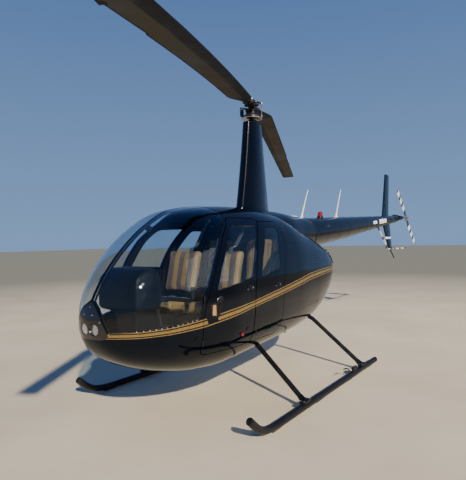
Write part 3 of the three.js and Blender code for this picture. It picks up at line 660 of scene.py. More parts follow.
# places across the stripe, where its lower edge is 1 and its upper edge 3
THIN_LINES, WIDE_BAND, BREAK_FROM = ((1.0, 1.26), (2.7, 3.0)), (1.56, 2.38), 1.4
STRIPE_GAP, GAP_SLANT = (-1.29, -1.168), 0.4  # where all above BREAK_FROM breaks off, as x + 0.4 z
TIP_X, TIP_Y, TIP_Z, TIP_SLANT, TIP_NIB = -2.3, 0.14, 0.862, 0.95, 0.01


def stripe_marks(points):
    """Where each point lies across the stripe, and how far past its slanted tip."""
    x, y, z = points.T
    upper, lower = np.interp(x, STRIPE[:, 0], STRIPE[:, 1]), np.interp(x, STRIPE[:, 0], STRIPE[:, 2])
    across = 2 + (z - (upper + lower) / 2) / ((upper - lower) / 2)
    tip = np.maximum(np.abs(y) - TIP_Y - TIP_SLANT * (z - TIP_Z), x - TIP_X)
    return {"stripe": np.clip(across, 0, 4), "stripe_tip": tip}


# Finishes
def body_paint(name, **sockets):
    """Gloss black under clear coat, with fine dust and the gold stripe where it is marked; its navy cast and
    the blue tint of its reflections are a painted reflection of a blue sky.
    """
    # Specular_Tint: a painted blue reflection of the sky on the gloss.
    f = Finish(name, "body_paint", Specular_IOR_Level=0.24, Specular_Tint=(0.62, 0.78, 1.0, 1), **sockets)
    dust = f.noise(2.2, 6)
    # painted reflection: the black's navy cast stands in for a blue sky's sheen; the dust moves it between
    # two such shades.
    deep = f.ramp(dust, (0.35, (0.0012, 0.0018, 0.0042)), (0.75, (0.0024, 0.0032, 0.0062)))
    across, tip = f.attribute("stripe"), f.attribute("stripe_tip")
    thin = f.math("ADD", *(f.between(across, *line) for line in THIN_LINES))
    bands = f.math("ADD", thin, f.between(across, *WIDE_BAND))
    nib = f.math("MULTIPLY", f.between(across, 1.0, 3.0), f.between(tip, 0.0, TIP_NIB))
    gold = f.math("MULTIPLY", f.math("MAXIMUM", bands, nib), f.math("GREATER_THAN", tip, 0.0))
    split = f.node("SeparateXYZ")
    f.link(f.place(), split.inputs["Vector"])
    slant = f.math("ADD", split.outputs["X"], f.math("MULTIPLY", split.outputs["Z"], GAP_SLANT))
    gap = f.between(slant, *(x + MAST for x in STRIPE_GAP))
    gap = f.math("MULTIPLY", gap, f.math("GREATER_THAN", across, BREAK_FROM))
    gold = f.math("MULTIPLY", gold, f.math("SUBTRACT", 1.0, gap))
    leaf = f.ramp(f.noise(34, 3, (1, 1, 4)), (0.3, (0.19, 0.12, 0.036)), (0.7, (0.28, 0.185, 0.066)))
    white = f.math("GREATER_THAN", f.attribute("white_patch"), 0.5)
    f.colour(f.mix(white, f.mix(gold, deep, leaf), (0.78, 0.78, 0.76)))
    f.link(f.math("MULTIPLY", gold, 0.35), f.shader.inputs["Metallic"])
    f.roughness(f.math("ADD", f.math("MULTIPLY", dust, 0.12), f.math("MULTIPLY", gold, 0.22)))
    return f.bump(f.noise(420, 1), 0.02, 0.0004)


def speckled(name, slot, low, high, scale, rough, bump=0.15, stretch=(1, 1, 1), **sockets):
    """A finish whose colour and gloss drift between two values with a noise, with a fine grained bump."""
    f = Finish(name, slot, **sockets)
    drift = f.noise(scale, 6, stretch)
    f.colour(f.ramp(drift, (0.3, low), (0.7, high)))
    f.roughness(f.ramp(drift, (0.3, rough[0]), (0.7, rough[1])))
    return f.bump(f.noise(scale * 30, 3, stretch), bump, 0.0006)


def clear_glass(name, slot, tint, rough=0.01):
    """Thin clear acrylic that lets lamps and bounced light straight through, with faint polishing haze."""
    f = Finish(name, slot, Base_Color=(*tint, 1), Transmission_Weight=1.0, IOR=1.33)
    f.roughness(f.ramp(f.noise(9, 6), (0.4, rough), (0.8, rough + 0.035)))
    rays = f.node("LightPath")
    through = f.node("BsdfTransparent")
    through.inputs["Color"].default_value = (*tint, 1)
    blend = f.node("MixShader")
    straight = f.math("MAXIMUM", rays.outputs["Is Shadow Ray"], rays.outputs["Is Diffuse Ray"])
    f.link(straight, blend.inputs["Fac"])
    f.link(f.shader.outputs["BSDF"], blend.inputs[1])
    f.link(through.outputs["BSDF"], blend.inputs[2])
    f.link(blend.outputs["Shader"], f.surface)
    return f


def striped_leather():
    """Tan leather with mauve grey stripes where they are marked, dark seams, pebble grain and soft wear."""
    f = Finish("striped_leather", "seat_leather", Specular_IOR_Level=0.25)
    wear = f.noise(6, 6)
    tan = f.ramp(wear, (0.3, (0.26, 0.15, 0.055)), (0.7, (0.37, 0.228, 0.092)))
    mauve = f.ramp(wear, (0.3, (0.1, 0.068, 0.064)), (0.7, (0.165, 0.118, 0.11)))
    hide = f.mix(f.math("GREATER_THAN", f.attribute("stripe_tint"), 0.5), tan, mauve)
    f.colour(f.mix(f.math("MULTIPLY", f.attribute("seam"), 0.7, clamp=True), hide, (0.06, 0.04, 0.025)))
    f.roughness(f.ramp(wear, (0.3, 0.38), (0.7, 0.55)))
    grain = f.node("TexVoronoi", feature="DISTANCE_TO_EDGE")
    grain.inputs["Scale"].default_value = 330
    f.link(f.place(), grain.inputs["Vector"])
    creases = f.math("MULTIPLY", f.noise(22, 5), 1.6)
    return f.bump(f.math("ADD", f.math("MULTIPLY", grain.outputs["Distance"], 0.5), creases), 0.35, 0.0014)


def blade_paint():
    """Matt brown-black; the underside is bare of gloss and paler behind the black leading strip."""
    f = Finish("blade_paint", "blade_paint", Specular_IOR_Level=0.3)
    streaks = f.noise(3, 6)
    olive = f.ramp(streaks, (0.3, (0.03, 0.026, 0.014)), (0.7, (0.052, 0.045, 0.026)))
    rust = f.math("MULTIPLY", f.between(f.noise(0.9, 2), 0.56, 1.0), 0.6)
    pale = f.mix(rust, olive, (0.06, 0.026, 0.012))
    dark = f.ramp(streaks, (0.3, (0.004, 0.0045, 0.006)), (0.7, (0.01, 0.01, 0.012)))
    f.colour(f.mix(f.math("GREATER_THAN", f.attribute("pale_strip"), 0.5), dark, pale))
    f.roughness(f.ramp(streaks, (0.3, 0.5), (0.7, 0.75)))
    return f.bump(f.noise(160, 3), 0.15, 0.0005)


def banded_white():
    """White gloss paint with black bands where they are marked."""
    f = Finish("banded_paint", "white_paint", Coat_Weight=0.4)
    grime = f.noise(7, 6)
    white = f.ramp(grime, (0.3, (0.62, 0.6, 0.57)), (0.7, (0.8, 0.79, 0.77)))
    black = f.ramp(grime, (0.3, (0.006, 0.006, 0.008)), (0.7, (0.016, 0.016, 0.018)))
    f.colour(f.mix(f.math("GREATER_THAN", f.attribute("black_band"), 0.5), white, black))
    f.roughness(f.ramp(grime, (0.3, 0.25), (0.7, 0.45)))
    return f.bump(f.noise(200, 2), 0.08, 0.0005)


PAINT = body_paint("gloss_black_paint")
FAIRING_PAINT = body_paint("fairing_black_paint", Coat_Weight=0.1, Coat_Roughness=0.16)
SATIN = speckled("satin_black_coat", "satin_black", (0.004, 0.004, 0.005), (0.01, 0.01, 0.012), 8,
                 (0.36, 0.55), Specular_IOR_Level=0.28)
CAP_COAT = speckled("nose_cap_coat", "satin_black", (0.003, 0.003, 0.004), (0.008, 0.008, 0.009), 5,
                    (0.14, 0.24), 0.05, Coat_Weight=0.5)
RUBBER = speckled("black_rubber", "satin_black", (0.005, 0.005, 0.005), (0.014, 0.014, 0.014), 14,
                  (0.6, 0.8), 0.2, Specular_IOR_Level=0.25)
BLADE = blade_paint()
BANDED = banded_white()
STEEL = speckled("machined_steel", "rotor_metal", (0.3, 0.3, 0.31), (0.55, 0.55, 0.56), 18, (0.22, 0.45), 0.2,
                 Metallic=1.0)
DARK_STEEL = speckled("dark_hub_metal", "rotor_metal", (0.018, 0.018, 0.02), (0.055, 0.055, 0.058), 16,
                      (0.35, 0.6), 0.2, Metallic=0.7)
ENGINE = speckled("cast_engine_metal", "engine_metal", (0.05, 0.05, 0.052), (0.14, 0.14, 0.14), 9,
                  (0.5, 0.75), 0.4, Metallic=0.6)
CHROME = speckled("lamp_reflector", "lamp_glass", (0.55, 0.56, 0.58), (0.95, 0.95, 0.95), 40, (0.05, 0.22),
                  0.6, Metallic=1.0)
LINING = speckled("cabin_lining", "cabin_lining", (0.006, 0.0065, 0.008), (0.014, 0.0145, 0.017), 6,
                  (0.65, 0.85), 0.35, Specular_IOR_Level=0.2)
CARPET = speckled("charcoal_carpet", "cabin_lining", (0.004, 0.0045, 0.006), (0.013, 0.0135, 0.016), 60,
                  (0.85, 0.95), 0.4, Specular_IOR_Level=0.1)
CONSOLE = speckled("console_crackle", "cabin_lining", (0.004, 0.005, 0.008), (0.01, 0.012, 0.017), 12,
                   (0.32, 0.5), 0.3, Specular_IOR_Level=0.2)
BELT = speckled("grey_belt_webbing", "satin_black", (0.05, 0.056, 0.072), (0.085, 0.096, 0.125), 30,
                (0.7, 0.85), 0.8, (1, 1, 6))
WHITE = speckled("white_gloss", "white_paint", (0.66, 0.65, 0.6), (0.84, 0.83, 0.78), 12, (0.22, 0.36), 0.05)
RED = speckled("red_lens", "red_lens", (0.26, 0.004, 0.01), (0.4, 0.008, 0.016), 20, (0.08, 0.2), 0.05,
               Transmission_Weight=0.25, Coat_Weight=0.6)
GREEN = speckled("green_lens", "red_lens", (0.004, 0.25, 0.06), (0.008, 0.36, 0.09), 20, (0.08, 0.2), 0.05,
                 Transmission_Weight=0.25, Coat_Weight=0.6)
TAN_TRIM = speckled("tan_trim", "seat_leather", (0.34, 0.17, 0.07), (0.5, 0.27, 0.12), 12, (0.45, 0.6), 0.2)
LEATHER = striped_leather()
GLASS = clear_glass("window_acrylic", "window_glass", (0.76, 0.82, 0.86))
LAMP_GLASS = clear_glass("lamp_lens_glass", "lamp_glass", (0.96, 0.97, 0.98), 0.02)


# Body panels
def side_test(line):
    """A test for points of the surface that lie inside a side view outline."""
    return lambda p: within(line, p[..., 0], p[..., 2])


def nose_test(line):
    """A test for points of the nose that lie inside a front view outline."""
    return lambda p: within(line, p[..., 1], p[..., 2]) & (p[..., 0] < NOSE_REAR)


def on_x(x, top=math.inf, count=160):
    """The line of constant station x on the plane, from the belly up to a height or the roof."""
    z = np.linspace(float(body_bottom(x)), min(top, float(body_top(x))), count)
    x = np.full(count, x)
    return to_plane(x, side_y(x, z), z)


def on_z(z, x0, x1, count=200):
    """The line of constant height z on the plane, between two stations."""
    x, z = np.linspace(x0, x1, count), np.full(count, z)
    return to_plane(x, side_y(x, z), z)


def spine(x0, x1, v, count=160):
    """The centre line over the roof (v = QUARTER) or under the belly (v = -QUARTER)."""
    return np.stack([np.interp(np.linspace(x0, x1, count), _line[:, 0], _run), np.full(count, v)], 1)


def post_line(half, count=260):
    """The edge of the centre post, so far out from the centre line, from the nose to the roof."""
    x = np.linspace(-2.43, -1.18, count)
    return to_plane(x, np.full(count, half), body_top(x) - 1e-4)


def in_windshield(p, d=0.0):
    """Inside the windshield's outline grown by d, clear of the nose cap's frame and the centre post."""
    outline, cap = side_test(grown(WINDSHIELD, d)), nose_test(grown(NOSE_CAP, CAP_FRAME - d))
    return outline(p) & ~cap(p) & (np.abs(p[..., 1]) > POST_HALF - d)


def add_panel(name, panel, node, body="airframe", finish=PAINT):
    """A body panel; a painted one has the gold stripe outside and the cabin's lining inside."""
    part, normals = panel
    marks = lining = None
    if finish is PAINT:
        marks = stripe_marks(part[0])
        a, b, c = (part[0][part[1][:, i]] for i in range(3))
        square = unit(np.cross(b - a, c - a))
        lining = (LINING, np.einsum("ij,ij->i", square, body_normal((a + b + c) / 3)) < -0.5)
    return add_piece(name, part, finish, [node], body, normals=normals, marks=marks, lining=lining)


# outlines of the openings, and of the panels and panes that fill them
cap_hole, cap_frame = grown(NOSE_CAP, HAIR), grown(NOSE_CAP, CAP_FRAME)
door_lines, windows = {"front": FRONT_DOOR, "rear": REAR_DOOR}, {"front": FRONT_WINDOW, "rear": REAR_WINDOW}
door_holes = [grown(line, DOOR_GAP) for line in door_lines.values()]


def in_shell(p):
    """On the cabin's shell: ahead of its rear wall, and clear of the belly panel and of every opening."""
    x, z = p[..., 0], p[..., 2]
    belly = (x > BELLY_FRONT - HAIR) & (z < BELLY_TOP + HAIR)
    clear = (x < CABIN_END) & ~belly & ~in_windshield(p)
    for test in (*map(side_test, door_holes), nose_test(cap_hole)):
        clear &= ~test(p)
    return clear


shell_lines = [
    *map(side_line, door_holes), side_line(WINDSHIELD), front_line(cap_hole), front_line(cap_frame),
    post_line(POST_HALF), on_x(CABIN_END), on_x(BELLY_FRONT - HAIR, BELLY_TOP + HAIR),
    on_z(BELLY_TOP + HAIR, BELLY_FRONT - HAIR, CABIN_END), spine(NOSE + 0.001, CABIN_END, QUARTER),
    spine(NOSE + 0.001, BELLY_FRONT, -QUARTER),
]
shell = skin_panel(shell_lines, in_shell, closed=[True] * 5 + [False] * 6, open_seam=True)
add_panel("cabin_skin", both_halves(shell), "cabin_shell")

belly_lines = [on_x(BELLY_FRONT, BELLY_TOP), on_x(CABIN_END, BELLY_TOP),
               on_z(BELLY_TOP, BELLY_FRONT, CABIN_END), spine(BELLY_FRONT, CABIN_END, -QUARTER)]
belly = skin_panel(belly_lines, lambda p: (p[..., 0] > BELLY_FRONT) & (p[..., 0] < CABIN_END)
                   & (p[..., 2] < BELLY_TOP), closed=[False] * 4, open_seam=True)
add_panel("belly_skin", both_halves(belly), "belly_panel")

bay_start, tail_start = CABIN_END + HAIR, TAIL_SEAM + HAIR
cowl_lines = [on_x(bay_start), on_x(TAIL_SEAM)]
cowl_lines += [spine(bay_start, TAIL_SEAM, v) for v in (QUARTER, -QUARTER)]
cowl = skin_panel(cowl_lines, lambda p: (p[..., 0] > bay_start) & (p[..., 0] < TAIL_SEAM), closed=[False] * 4)
tail_lines = [on_x(tail_start), *(spine(TAIL_SEAM, TAIL - 1e-4, v) for v in (QUARTER, -QUARTER))]
tail = skin_panel(tail_lines, lambda p: p[..., 0] > tail_start, closed=[False] * 3, open_seam=True,
                  step=0.022)
add_panel("tail_cowl_skin", both_halves(tail), "tail_cowl")

doors, panes = {}, {}
for place, line in door_lines.items():
    edge, window, pane = grown(line, -DOOR_GAP), windows[place], grown(windows[place], -PANE_GAP)
    in_door, in_window = side_test(edge), side_test(window)
    doors[place] = skin_panel([side_line(edge), side_line(window)],
                              lambda p, a=in_door, b=in_window: a(p) & ~b(p), step=0.026)
    panes[place] = skin_panel([side_line(pane)], side_test(pane), PANE)
windshield_lines = [side_line(grown(WINDSHIELD, -PANE_GAP)),
                    front_line(grown(NOSE_CAP, CAP_FRAME + PANE_GAP)), post_line(POST_HALF + PANE_GAP)]
windshield = skin_panel(windshield_lines, lambda p: in_windshield(p, -PANE_GAP), PANE,
                        closed=[True, True, False])

for hand, side in SIDES:
    turned = (lambda panel: panel) if side > 0 else port
    add_panel("engine_cowl_skin_" + hand, turned(cowl), "engine_cowl_" + hand)
    add_panel("windshield_pane_" + hand, turned(windshield), "windshield_" + hand, finish=GLASS)
    for place in ("front", "rear"):
        door = f"{place}_door_{hand}"
        add_panel(f"{place}_door_skin_{hand}", turned(doors[place]), door, door)
        add_panel(f"{place}_window_pane_{hand}", turned(panes[place]), f"{place}_window_{hand}", door, GLASS)


# Nose cap and its two lamps, cut in front view
LAMP_Y, LAMP_Z = 0.055, 0.926
LAMP_HOLE, LAMP_LENS, LAMP_RIM, LAMP_BOWL = 0.048, 0.046, 0.0472, 0.044  # radii


def ring_at(y, z, radius, count=48):
    """A circle in front view."""
    a = full_turn(count)
    return np.stack([y + radius * np.cos(a), z + radius * np.sin(a)], 1)


def nose_panel(lines, keep, depths, step=0.012, d=0.0015):
    """A piece of the nose, bounded by front view outlines (y, z), with slopes taken over 2 d."""
    plane, faces = triangulated([dense(line, step / 2) for line in lines], keep, step, [True] * len(lines))
    y, z = plane.T
    slope_y = (nose_x(y + d, z) - nose_x(y - d, z)) / (2 * d)
    slope_z = (nose_x(y, z + d) - nose_x(y, z - d)) / (2 * d)
    surface = np.stack([nose_x(y, z), y, z], 1)
    normal = unit(np.stack([np.full(len(y), -1.0), slope_y, slope_z], 1))
    return walled(surface, normal, faced(surface, normal, faces), depths)


def in_lamp(yz, y, radius):
    """Whether each place lies within radius of the lamp at y."""
    return np.hypot(yz[:, 0] - y, yz[:, 1] - LAMP_Z) < radius


def in_cap(yz):
    """Inside the nose cap, clear of its two lamp holes."""
    holes = in_lamp(yz, LAMP_Y, LAMP_HOLE) | in_lamp(yz, -LAMP_Y, LAMP_HOLE)
    return within(NOSE_CAP, *yz.T) & ~holes


def closed_ring(path, across, wide, deep, sides=8):
    """A ring: ellipses round a closed path, wide along across at each point and deep along x."""
    rows, a = len(path), full_turn(sides)
    points = (path[:, None] + wide * np.cos(a)[None, :, None] * across[:, None]
              + deep * np.sin(a)[None, :, None] * np.array([1.0, 0, 0]))
    i, j = np.meshgrid(np.arange(rows), np.arange(sides), indexing="ij")
    steps = ((0, 0), (1, 0), (1, 1), (0, 1))
    quad = [((i + di) % rows * sides + (j + dj) % sides).ravel() for di, dj in steps]
    faces = np.concatenate([np.stack(quad[:3], 1), np.stack([quad[0], quad[2], quad[3]], 1)])
    return outwards(points.reshape(-1, 3), faces)


cap = nose_panel([NOSE_CAP, *(ring_at(y, LAMP_Z, LAMP_HOLE) for y in (-LAMP_Y, LAMP_Y))], in_cap, (0.0, SKIN))
add_piece("nose_cap_skin", cap[0], CAP_COAT, ["nose_cap"], normals=cap[1])

# the bowl's depth goes as the square of its radius, outside and back again inside
bowl_r = np.linspace(0.006, LAMP_BOWL, 16)
bowl_x = -0.034 * (bowl_r / LAMP_BOWL) ** 2
BOWL = np.concatenate([np.stack([0.046 + bowl_x, bowl_r + 0.001], 1)[::-1],
                       np.stack([0.04 + bowl_x, bowl_r], 1)])
BULB = [(0, 0.001), (0.002, 0.006), (0.01, 0.009), (0.022, 0.009), (0.026, 0.004)]
reflectors, lenses, rims = [], [], []
for y in (-LAMP_Y, LAMP_Y):
    front = float(nose_x(np.array(y), np.array(LAMP_Z)))
    reflectors.append(spun(BOWL, (front + 0.012, y, LAMP_Z), (1, 0, 0), 36))
    reflectors.append(spun(BULB, (front + 0.02, y, LAMP_Z), (1, 0, 0), 24))
    lenses.append(nose_panel([ring_at(y, LAMP_Z, LAMP_LENS)], lambda yz, y=y: in_lamp(yz, y, LAMP_LENS),
                             (0.004, 0.007), 0.008))
    loop = ring_at(y, LAMP_Z, LAMP_RIM)
    path = np.stack([nose_x(*loop.T) + 0.002, *loop.T], 1)
    rims.append(closed_ring(path, unit(path * (0, 1, 1) - (0, y, LAMP_Z)), 0.0022, 0.003))
add_piece("lamp_reflectors", join(*reflectors), CHROME, ["landing_lamps"])
add_piece("lamp_rims", join(*rims), SATIN, ["landing_lamps"])
for (hand, _), lens in zip(SIDES, lenses):
    add_piece("lamp_lens_" + hand, lens[0], LAMP_GLASS, ["landing_lamps"], normals=lens[1])


# Upper cowl, mast fairing and tail boom
def circles(rows, sides):
    """Ellipses in planes across x; each row is x, middle height, half width, half height."""
    a = full_turn(sides)
    x, z, ry, rz = (np.asarray(rows)[:, k, None] for k in range(4))
    return np.stack([x + 0 * a, ry * np.cos(a), z + rz * np.sin(a)], -1)


def aerofoil(count, gain):
    """A symmetric section (t, w): t along the chord, and w gain times the root of t times (1 - t)^0.9."""
    a = full_turn(count)
    t = (1 - np.cos(a)) / 2
    return t, np.sign(np.sin(a)) * gain * np.sqrt(t) * (1 - t) ** 0.9


def fairing_rings(rows):
    """Level aerofoil rings; each row is z, leading edge, trailing edge, half width."""
    t, w = aerofoil(44, 2.548)
    z, front, rear, half = (np.asarray(rows)[:, k, None] for k in range(4))
    return np.stack([front + (rear - front) * t, half * w, z + 0 * t], -1)


COWL_ROWS = [(-0.33, 1.7, 0.15, 0.15), (-0.06, 1.7, 0.3, 0.25), (0.4, 1.69, 0.3, 0.255),
             (0.9, 1.672, 0.255, 0.238), (1.2895, 1.669, 0.222, 0.222)]
FAIRING = [(1.86, -0.345, 0.36, 0.104), (2.2, -0.275, 0.318, 0.097), (2.6, -0.205, 0.262, 0.086),
           (2.985, -0.15, 0.215, 0.075)]
FLARE = [(1.88, -0.395, 0.4, 0.15), (1.905, -0.362, 0.38, 0.122), (1.945, -0.342, 0.362, 0.108),
         (1.975, -0.334, 0.352, 0.1045)]
add_piece("upper_cowl_skin", loft(circles(eased_rows(COWL_ROWS, 40), 48)), PAINT, ["upper_cowl"])
add_piece("mast_fairing_skin", loft(fairing_rings(eased_rows(FAIRING, 30))), FAIRING_PAINT, ["mast_fairing"])
add_piece("fairing_foot_flare", loft(fairing_rings(eased_rows(FLARE, 9))), PAINT)

# station, middle height, radius
BOOM = np.array([(1.29, 1.669, 0.222), (2.7, 1.763, 0.183), (4.2, 1.874, 0.13), (5.65, 1.978, 0.08)])
BOOM_SEAMS = (1.3, 1.78, 2.25, 2.7, 3.15, 3.6, 4.05, 4.5, 4.93, 5.36, 5.64)
LAP = 0.0012  # how far a seam's lap stands proud
BOOM_WHITE = ((4.4, 4.9, -16, 29), (3.98, 4.22, -9, 20))  # white patches: stations, and degrees up from port


def boom_at(x):
    """Middle height and radius of the boom."""
    return np.interp(x, BOOM[:, 0], BOOM[:, 1]), np.interp(x, BOOM[:, 0], BOOM[:, 2])


def in_ranges(values, ranges):
    """1 where a value lies inside one of the ranges, else 0."""
    return sum(((values > low) & (values < high)).astype(float) for low, high in ranges)


lap_edges = [(s - 0.016, s - 0.015, s + 0.004, s + 0.005) for s in BOOM_SEAMS[1:-1]]
boom_x = np.unique(np.concatenate([np.linspace(BOOM[0, 0], BOOM[-1, 0], 110), *lap_edges]))
boom_z, boom_r = boom_at(boom_x)
boom_r = boom_r - LAP + LAP * in_ranges(boom_x, [(s - 0.0155, s + 0.0045) for s in BOOM_SEAMS])
boom_part = loft(circles(np.stack([boom_x, boom_z, boom_r, boom_r], 1), 72))
x, y, z = boom_part[0].T
turn = np.degrees(np.arctan2(z - boom_at(x)[0], -y))
patch = sum(in_ranges(x, [(a, b)]) * in_ranges(turn, [(low, high)]) for a, b, low, high in BOOM_WHITE)
add_piece("boom_skin", boom_part, PAINT, ["tail_boom"], sharp=30, marks={"white_patch": patch})


def domes(at, out, radius, height, sides=6):
    """Small rivet heads: a low cone frustum with a fan on top at each place, its axis along out."""
    at, out = np.asarray(at, float), unit(np.asarray(out, float))
    helper = np.where(np.abs(out[:, :1]) < 0.9, [[1.0, 0, 0]], [[0, 1.0, 0]])
    u = unit(np.cross(out, helper))
    v = np.cross(out, u)
    a = full_turn(sides)
    spoke = np.cos(a)[None, :, None] * u[:, None] + np.sin(a)[None, :, None] * v[:, None]
    low = at[:, None] + radius * spoke - 0.3 * height * out[:, None]
    high = at[:, None] + 0.62 * radius * spoke + 0.8 * height * out[:, None]
    ends = np.stack([at - 0.3 * height * out, at + height * out], 1)
    points = np.concatenate([low, high, ends], 1)
    j = np.arange(sides)
    k = (j + 1) % sides
    foot, top = np.full(sides, 2 * sides), np.full(sides, 2 * sides + 1)
    one = np.concatenate([np.stack(corners, 1) for corners in (
        (j, k, sides + k), (j, sides + k, sides + j), (k, j, foot), (sides + j, sides + k, top))])
    faces = one[None] + (np.arange(len(at)) * (2 * sides + 2))[:, None, None]
    return points.reshape(-1, 3), faces.reshape(-1, 3)


def rivet_ring(x, count=36):
    """Places round the boom at x, and the way out at each."""
    z, r = boom_at(x)
    a = full_turn(count)
    out = np.stack([0 * a, np.cos(a), np.sin(a)], 1)
    return np.array([x, 0, z]) + r * out, out


rivets = [np.concatenate(v) for v in zip(*(rivet_ring(s - 0.006) for s in BOOM_SEAMS))]
add_piece("boom_rivets", domes(*rivets, 0.0042, 0.0018), PAINT, sharp=80)
COLLAR = [(-0.012, 0.2225), (-0.01, 0.2265), (0.01, 0.2265), (0.013, 0.2225)]
collar_at = (BOOM[0, 0], 0, BOOM[0, 1])
add_piece("boom_joint_collar", spun(COLLAR, collar_at, (1, 0, 0.066), 56), RUBBER)


# Tail surfaces
FIN_HALF, FIN_GAIN, STAB_Z, STAB_TIP = 0.02, 1.96, 1.95, 0.64


def blade_plate(span, lead, trail, half, level=None):
    """A fin of aerofoils from lead to trail at each place along its span, ends rounded off; span runs up, or
    across at the given level."""
    t, w = aerofoil(30, FIN_GAIN)
    span, lead, trail = (np.asarray(v, float)[:, None] for v in (span, lead, trail))
    round_off = np.ones(len(span))
    round_off[[0, -1]] = 0.25
    round_off[[1, -2]] = 0.8
    x = lead + (trail - lead) * t
    side = half * round_off[:, None] * w
    span = span + 0 * x
    return loft(np.stack([x, side, span] if level is None else [x, span, level + side], -1))


def fin_rows(z, ends, eased=0.035):
    """A fin's edges at heights z, straight between its two ends, with the tip's corners eased."""
    (z0, lead0, trail0), (z1, lead1, trail1) = ends
    t = (z - z0) / (z1 - z0)
    near = np.clip(1 - np.abs(z1 - z) / eased, 0, 1) ** 2
    return lead0 + t * (lead1 - lead0) + near * 0.018, trail0 + t * (trail1 - trail0) - near * 0.014


fin_z = np.concatenate([np.linspace(1.93, 2.87, 18), np.linspace(2.88, 2.912, 7)])
edges = fin_rows(fin_z, ((1.9, 4.88, 5.35), (2.912, 5.15, 5.45)))
add_piece("upper_fin_skin", blade_plate(fin_z, *edges, FIN_HALF), PAINT, ["upper_fin"])
BAND = (1.558, 1.6)  # heights of the lower fin's white band
band_rows = (BAND[0] - 0.0005, BAND[0] + 0.0005, BAND[1] - 0.0005, BAND[1] + 0.0005)
fin_z = np.unique(np.concatenate([np.linspace(1.33, 1.362, 7), np.linspace(1.372, 1.935, 18), band_rows]))
edges = fin_rows(fin_z, ((1.96, 4.88, 5.42), (1.33, 5.33, 5.59)))
tail_skid = rod((5.415, 0, 1.345), (5.725, 0, 1.14), np.linspace(0.014, 0.0118, 9), 14, 9)
fin = join(blade_plate(fin_z, *edges, FIN_HALF), tail_skid)
add_piece("lower_fin_skin", fin, PAINT, ["lower_fin"], marks={"white_patch": in_ranges(fin[0][:, 2], [BAND])})
stab_y = np.concatenate([np.linspace(0.03, 0.605, 12), np.linspace(0.612, STAB_TIP, 6)])
near = np.clip(1 - (STAB_TIP - stab_y) / 0.03, 0, 1) ** 2
stab_lead = 5.02 + 0.08 * stab_y / STAB_TIP + 0.02 * near
stabilizer = blade_plate(stab_y, stab_lead, 5.33 - 0.012 * near, 0.014, STAB_Z)
add_piece("stabilizer_skin", stabilizer, PAINT, ["stabilizer_right"])

# Tail gearbox, guard, aerials and beacon
TAIL_SHAFT_X, TAIL_SHAFT_Z = 5.886, 2.012
GEAR_ROWS = [(5.6505, 1.978, 0.08, 0.08), (5.7, 1.987, 0.083, 0.083), (5.79, 2.005, 0.082, 0.082),
             (5.9, 2.011, 0.077, 0.078), (5.96, 2.014, 0.07, 0.072), (6.03, 2.016, 0.052, 0.054),
             (6.06, 2.016, 0.034, 0.036)]
SPINDLE = [(0, 0.05), (0.05, 0.05), (0.058, 0.058), (0.068, 0.058), (0.074, 0.047), (0.12, 0.04),
           (0.136, 0.04), (0.142, 0.036), (0.15, 0.034)]
a = full_turn(8)
bolt_at = np.stack([TAIL_SHAFT_X + 0.052 * np.cos(a), np.full(8, -0.0745),
                    TAIL_SHAFT_Z + 0.052 * np.sin(a)], 1)
gearbox = join(loft(circles(eased_rows(GEAR_ROWS, 22), 32)),
               spun(SPINDLE, (TAIL_SHAFT_X, 0, TAIL_SHAFT_Z), (0, -1, 0)),
               domes(bolt_at, np.tile([0, -1.0, 0], (8, 1)), 0.006, 0.006))
add_piece("tail_gearbox_case", gearbox, DARK_STEEL, ["tail_gearbox"])

GUARD = bent([(4.44, -0.075, 1.78), (5.11, -0.052, 1.347, 0.09), (6.43, -0.052, 1.338)])
GUARD_WHITE = ((0.09, 0.3), (0.43, 0.62), (0.72, 0.92), (1.03, 1.18), (1.32, 1.56), (1.71, 1.97))
GUARD_SIDES = 16
guard_path = dense(GUARD, 0.02, closed=False)
guard_run = run_along(guard_path)
guard_at = np.append(np.repeat(guard_run, GUARD_SIDES), (guard_run[0], guard_run[-1]))
add_piece("tail_guard_tube", tube(guard_path, 0.016, GUARD_SIDES), BANDED, ["tail_rotor_guard"],
          marks={"black_band": 1.0 - in_ranges(guard_at, GUARD_WHITE)})
add_piece("tail_guard_clips", join(block(5.055, 5.085, -0.075, -0.025, 1.36, 1.4, 0.003),
                                   block(5.36, 5.4, -0.072, 0.018, 1.322, 1.366, 0.003)), SATIN)

for name, x, tall, rake in (("antenna_front", 1.254, 0.417, 0.232), ("antenna_rear", 2.5, 0.474, 0.237)):
    foot = sum(boom_at(x)) + 0.002
    t = np.linspace(0, 1, 24)
    path = np.stack([x + 0.004 + rake * t, 0 * t, foot - 0.008 + tall * t**0.97], 1)
    width = 0.0062 + 0.022 * np.exp(-t * 14) + 0.006 * (1 - t)
    add_piece(name + "_whip", tube(path, width, 16, 0.62), WHITE, [name])
BEACON_X = 1.9
beacon_at = (BEACON_X, 0, sum(boom_at(BEACON_X)))
DOME = [(0.02, 0.04), (0.03, 0.0405), (0.05, 0.0395), (0.068, 0.0365), (0.08, 0.031), (0.088, 0.02),
        (0.0915, 0.008)]
FOOT = [(-0.01, 0.045), (0.012, 0.045), (0.016, 0.043), (0.024, 0.043), (0.026, 0.04)]
add_piece("beacon_dome", spun(DOME, beacon_at), RED, ["beacon"])
add_piece("beacon_foot", spun(FOOT, beacon_at), SATIN, ["beacon"])


# Main rotor, made with its blades along x and turned to its parked azimuth
HUB_Z, AZIMUTH, TEETER = 3.214, 23.8, 1.7
CHORD, CHORD_OUTER, RADIUS = 0.254, 0.242, 5.03
NOSE_PART = 0.27  # the part of the chord ahead of the blade's axis
PALE_FROM, PALE_TO = 0.36, 0.94  # fractions of the chord between which the underside is pale
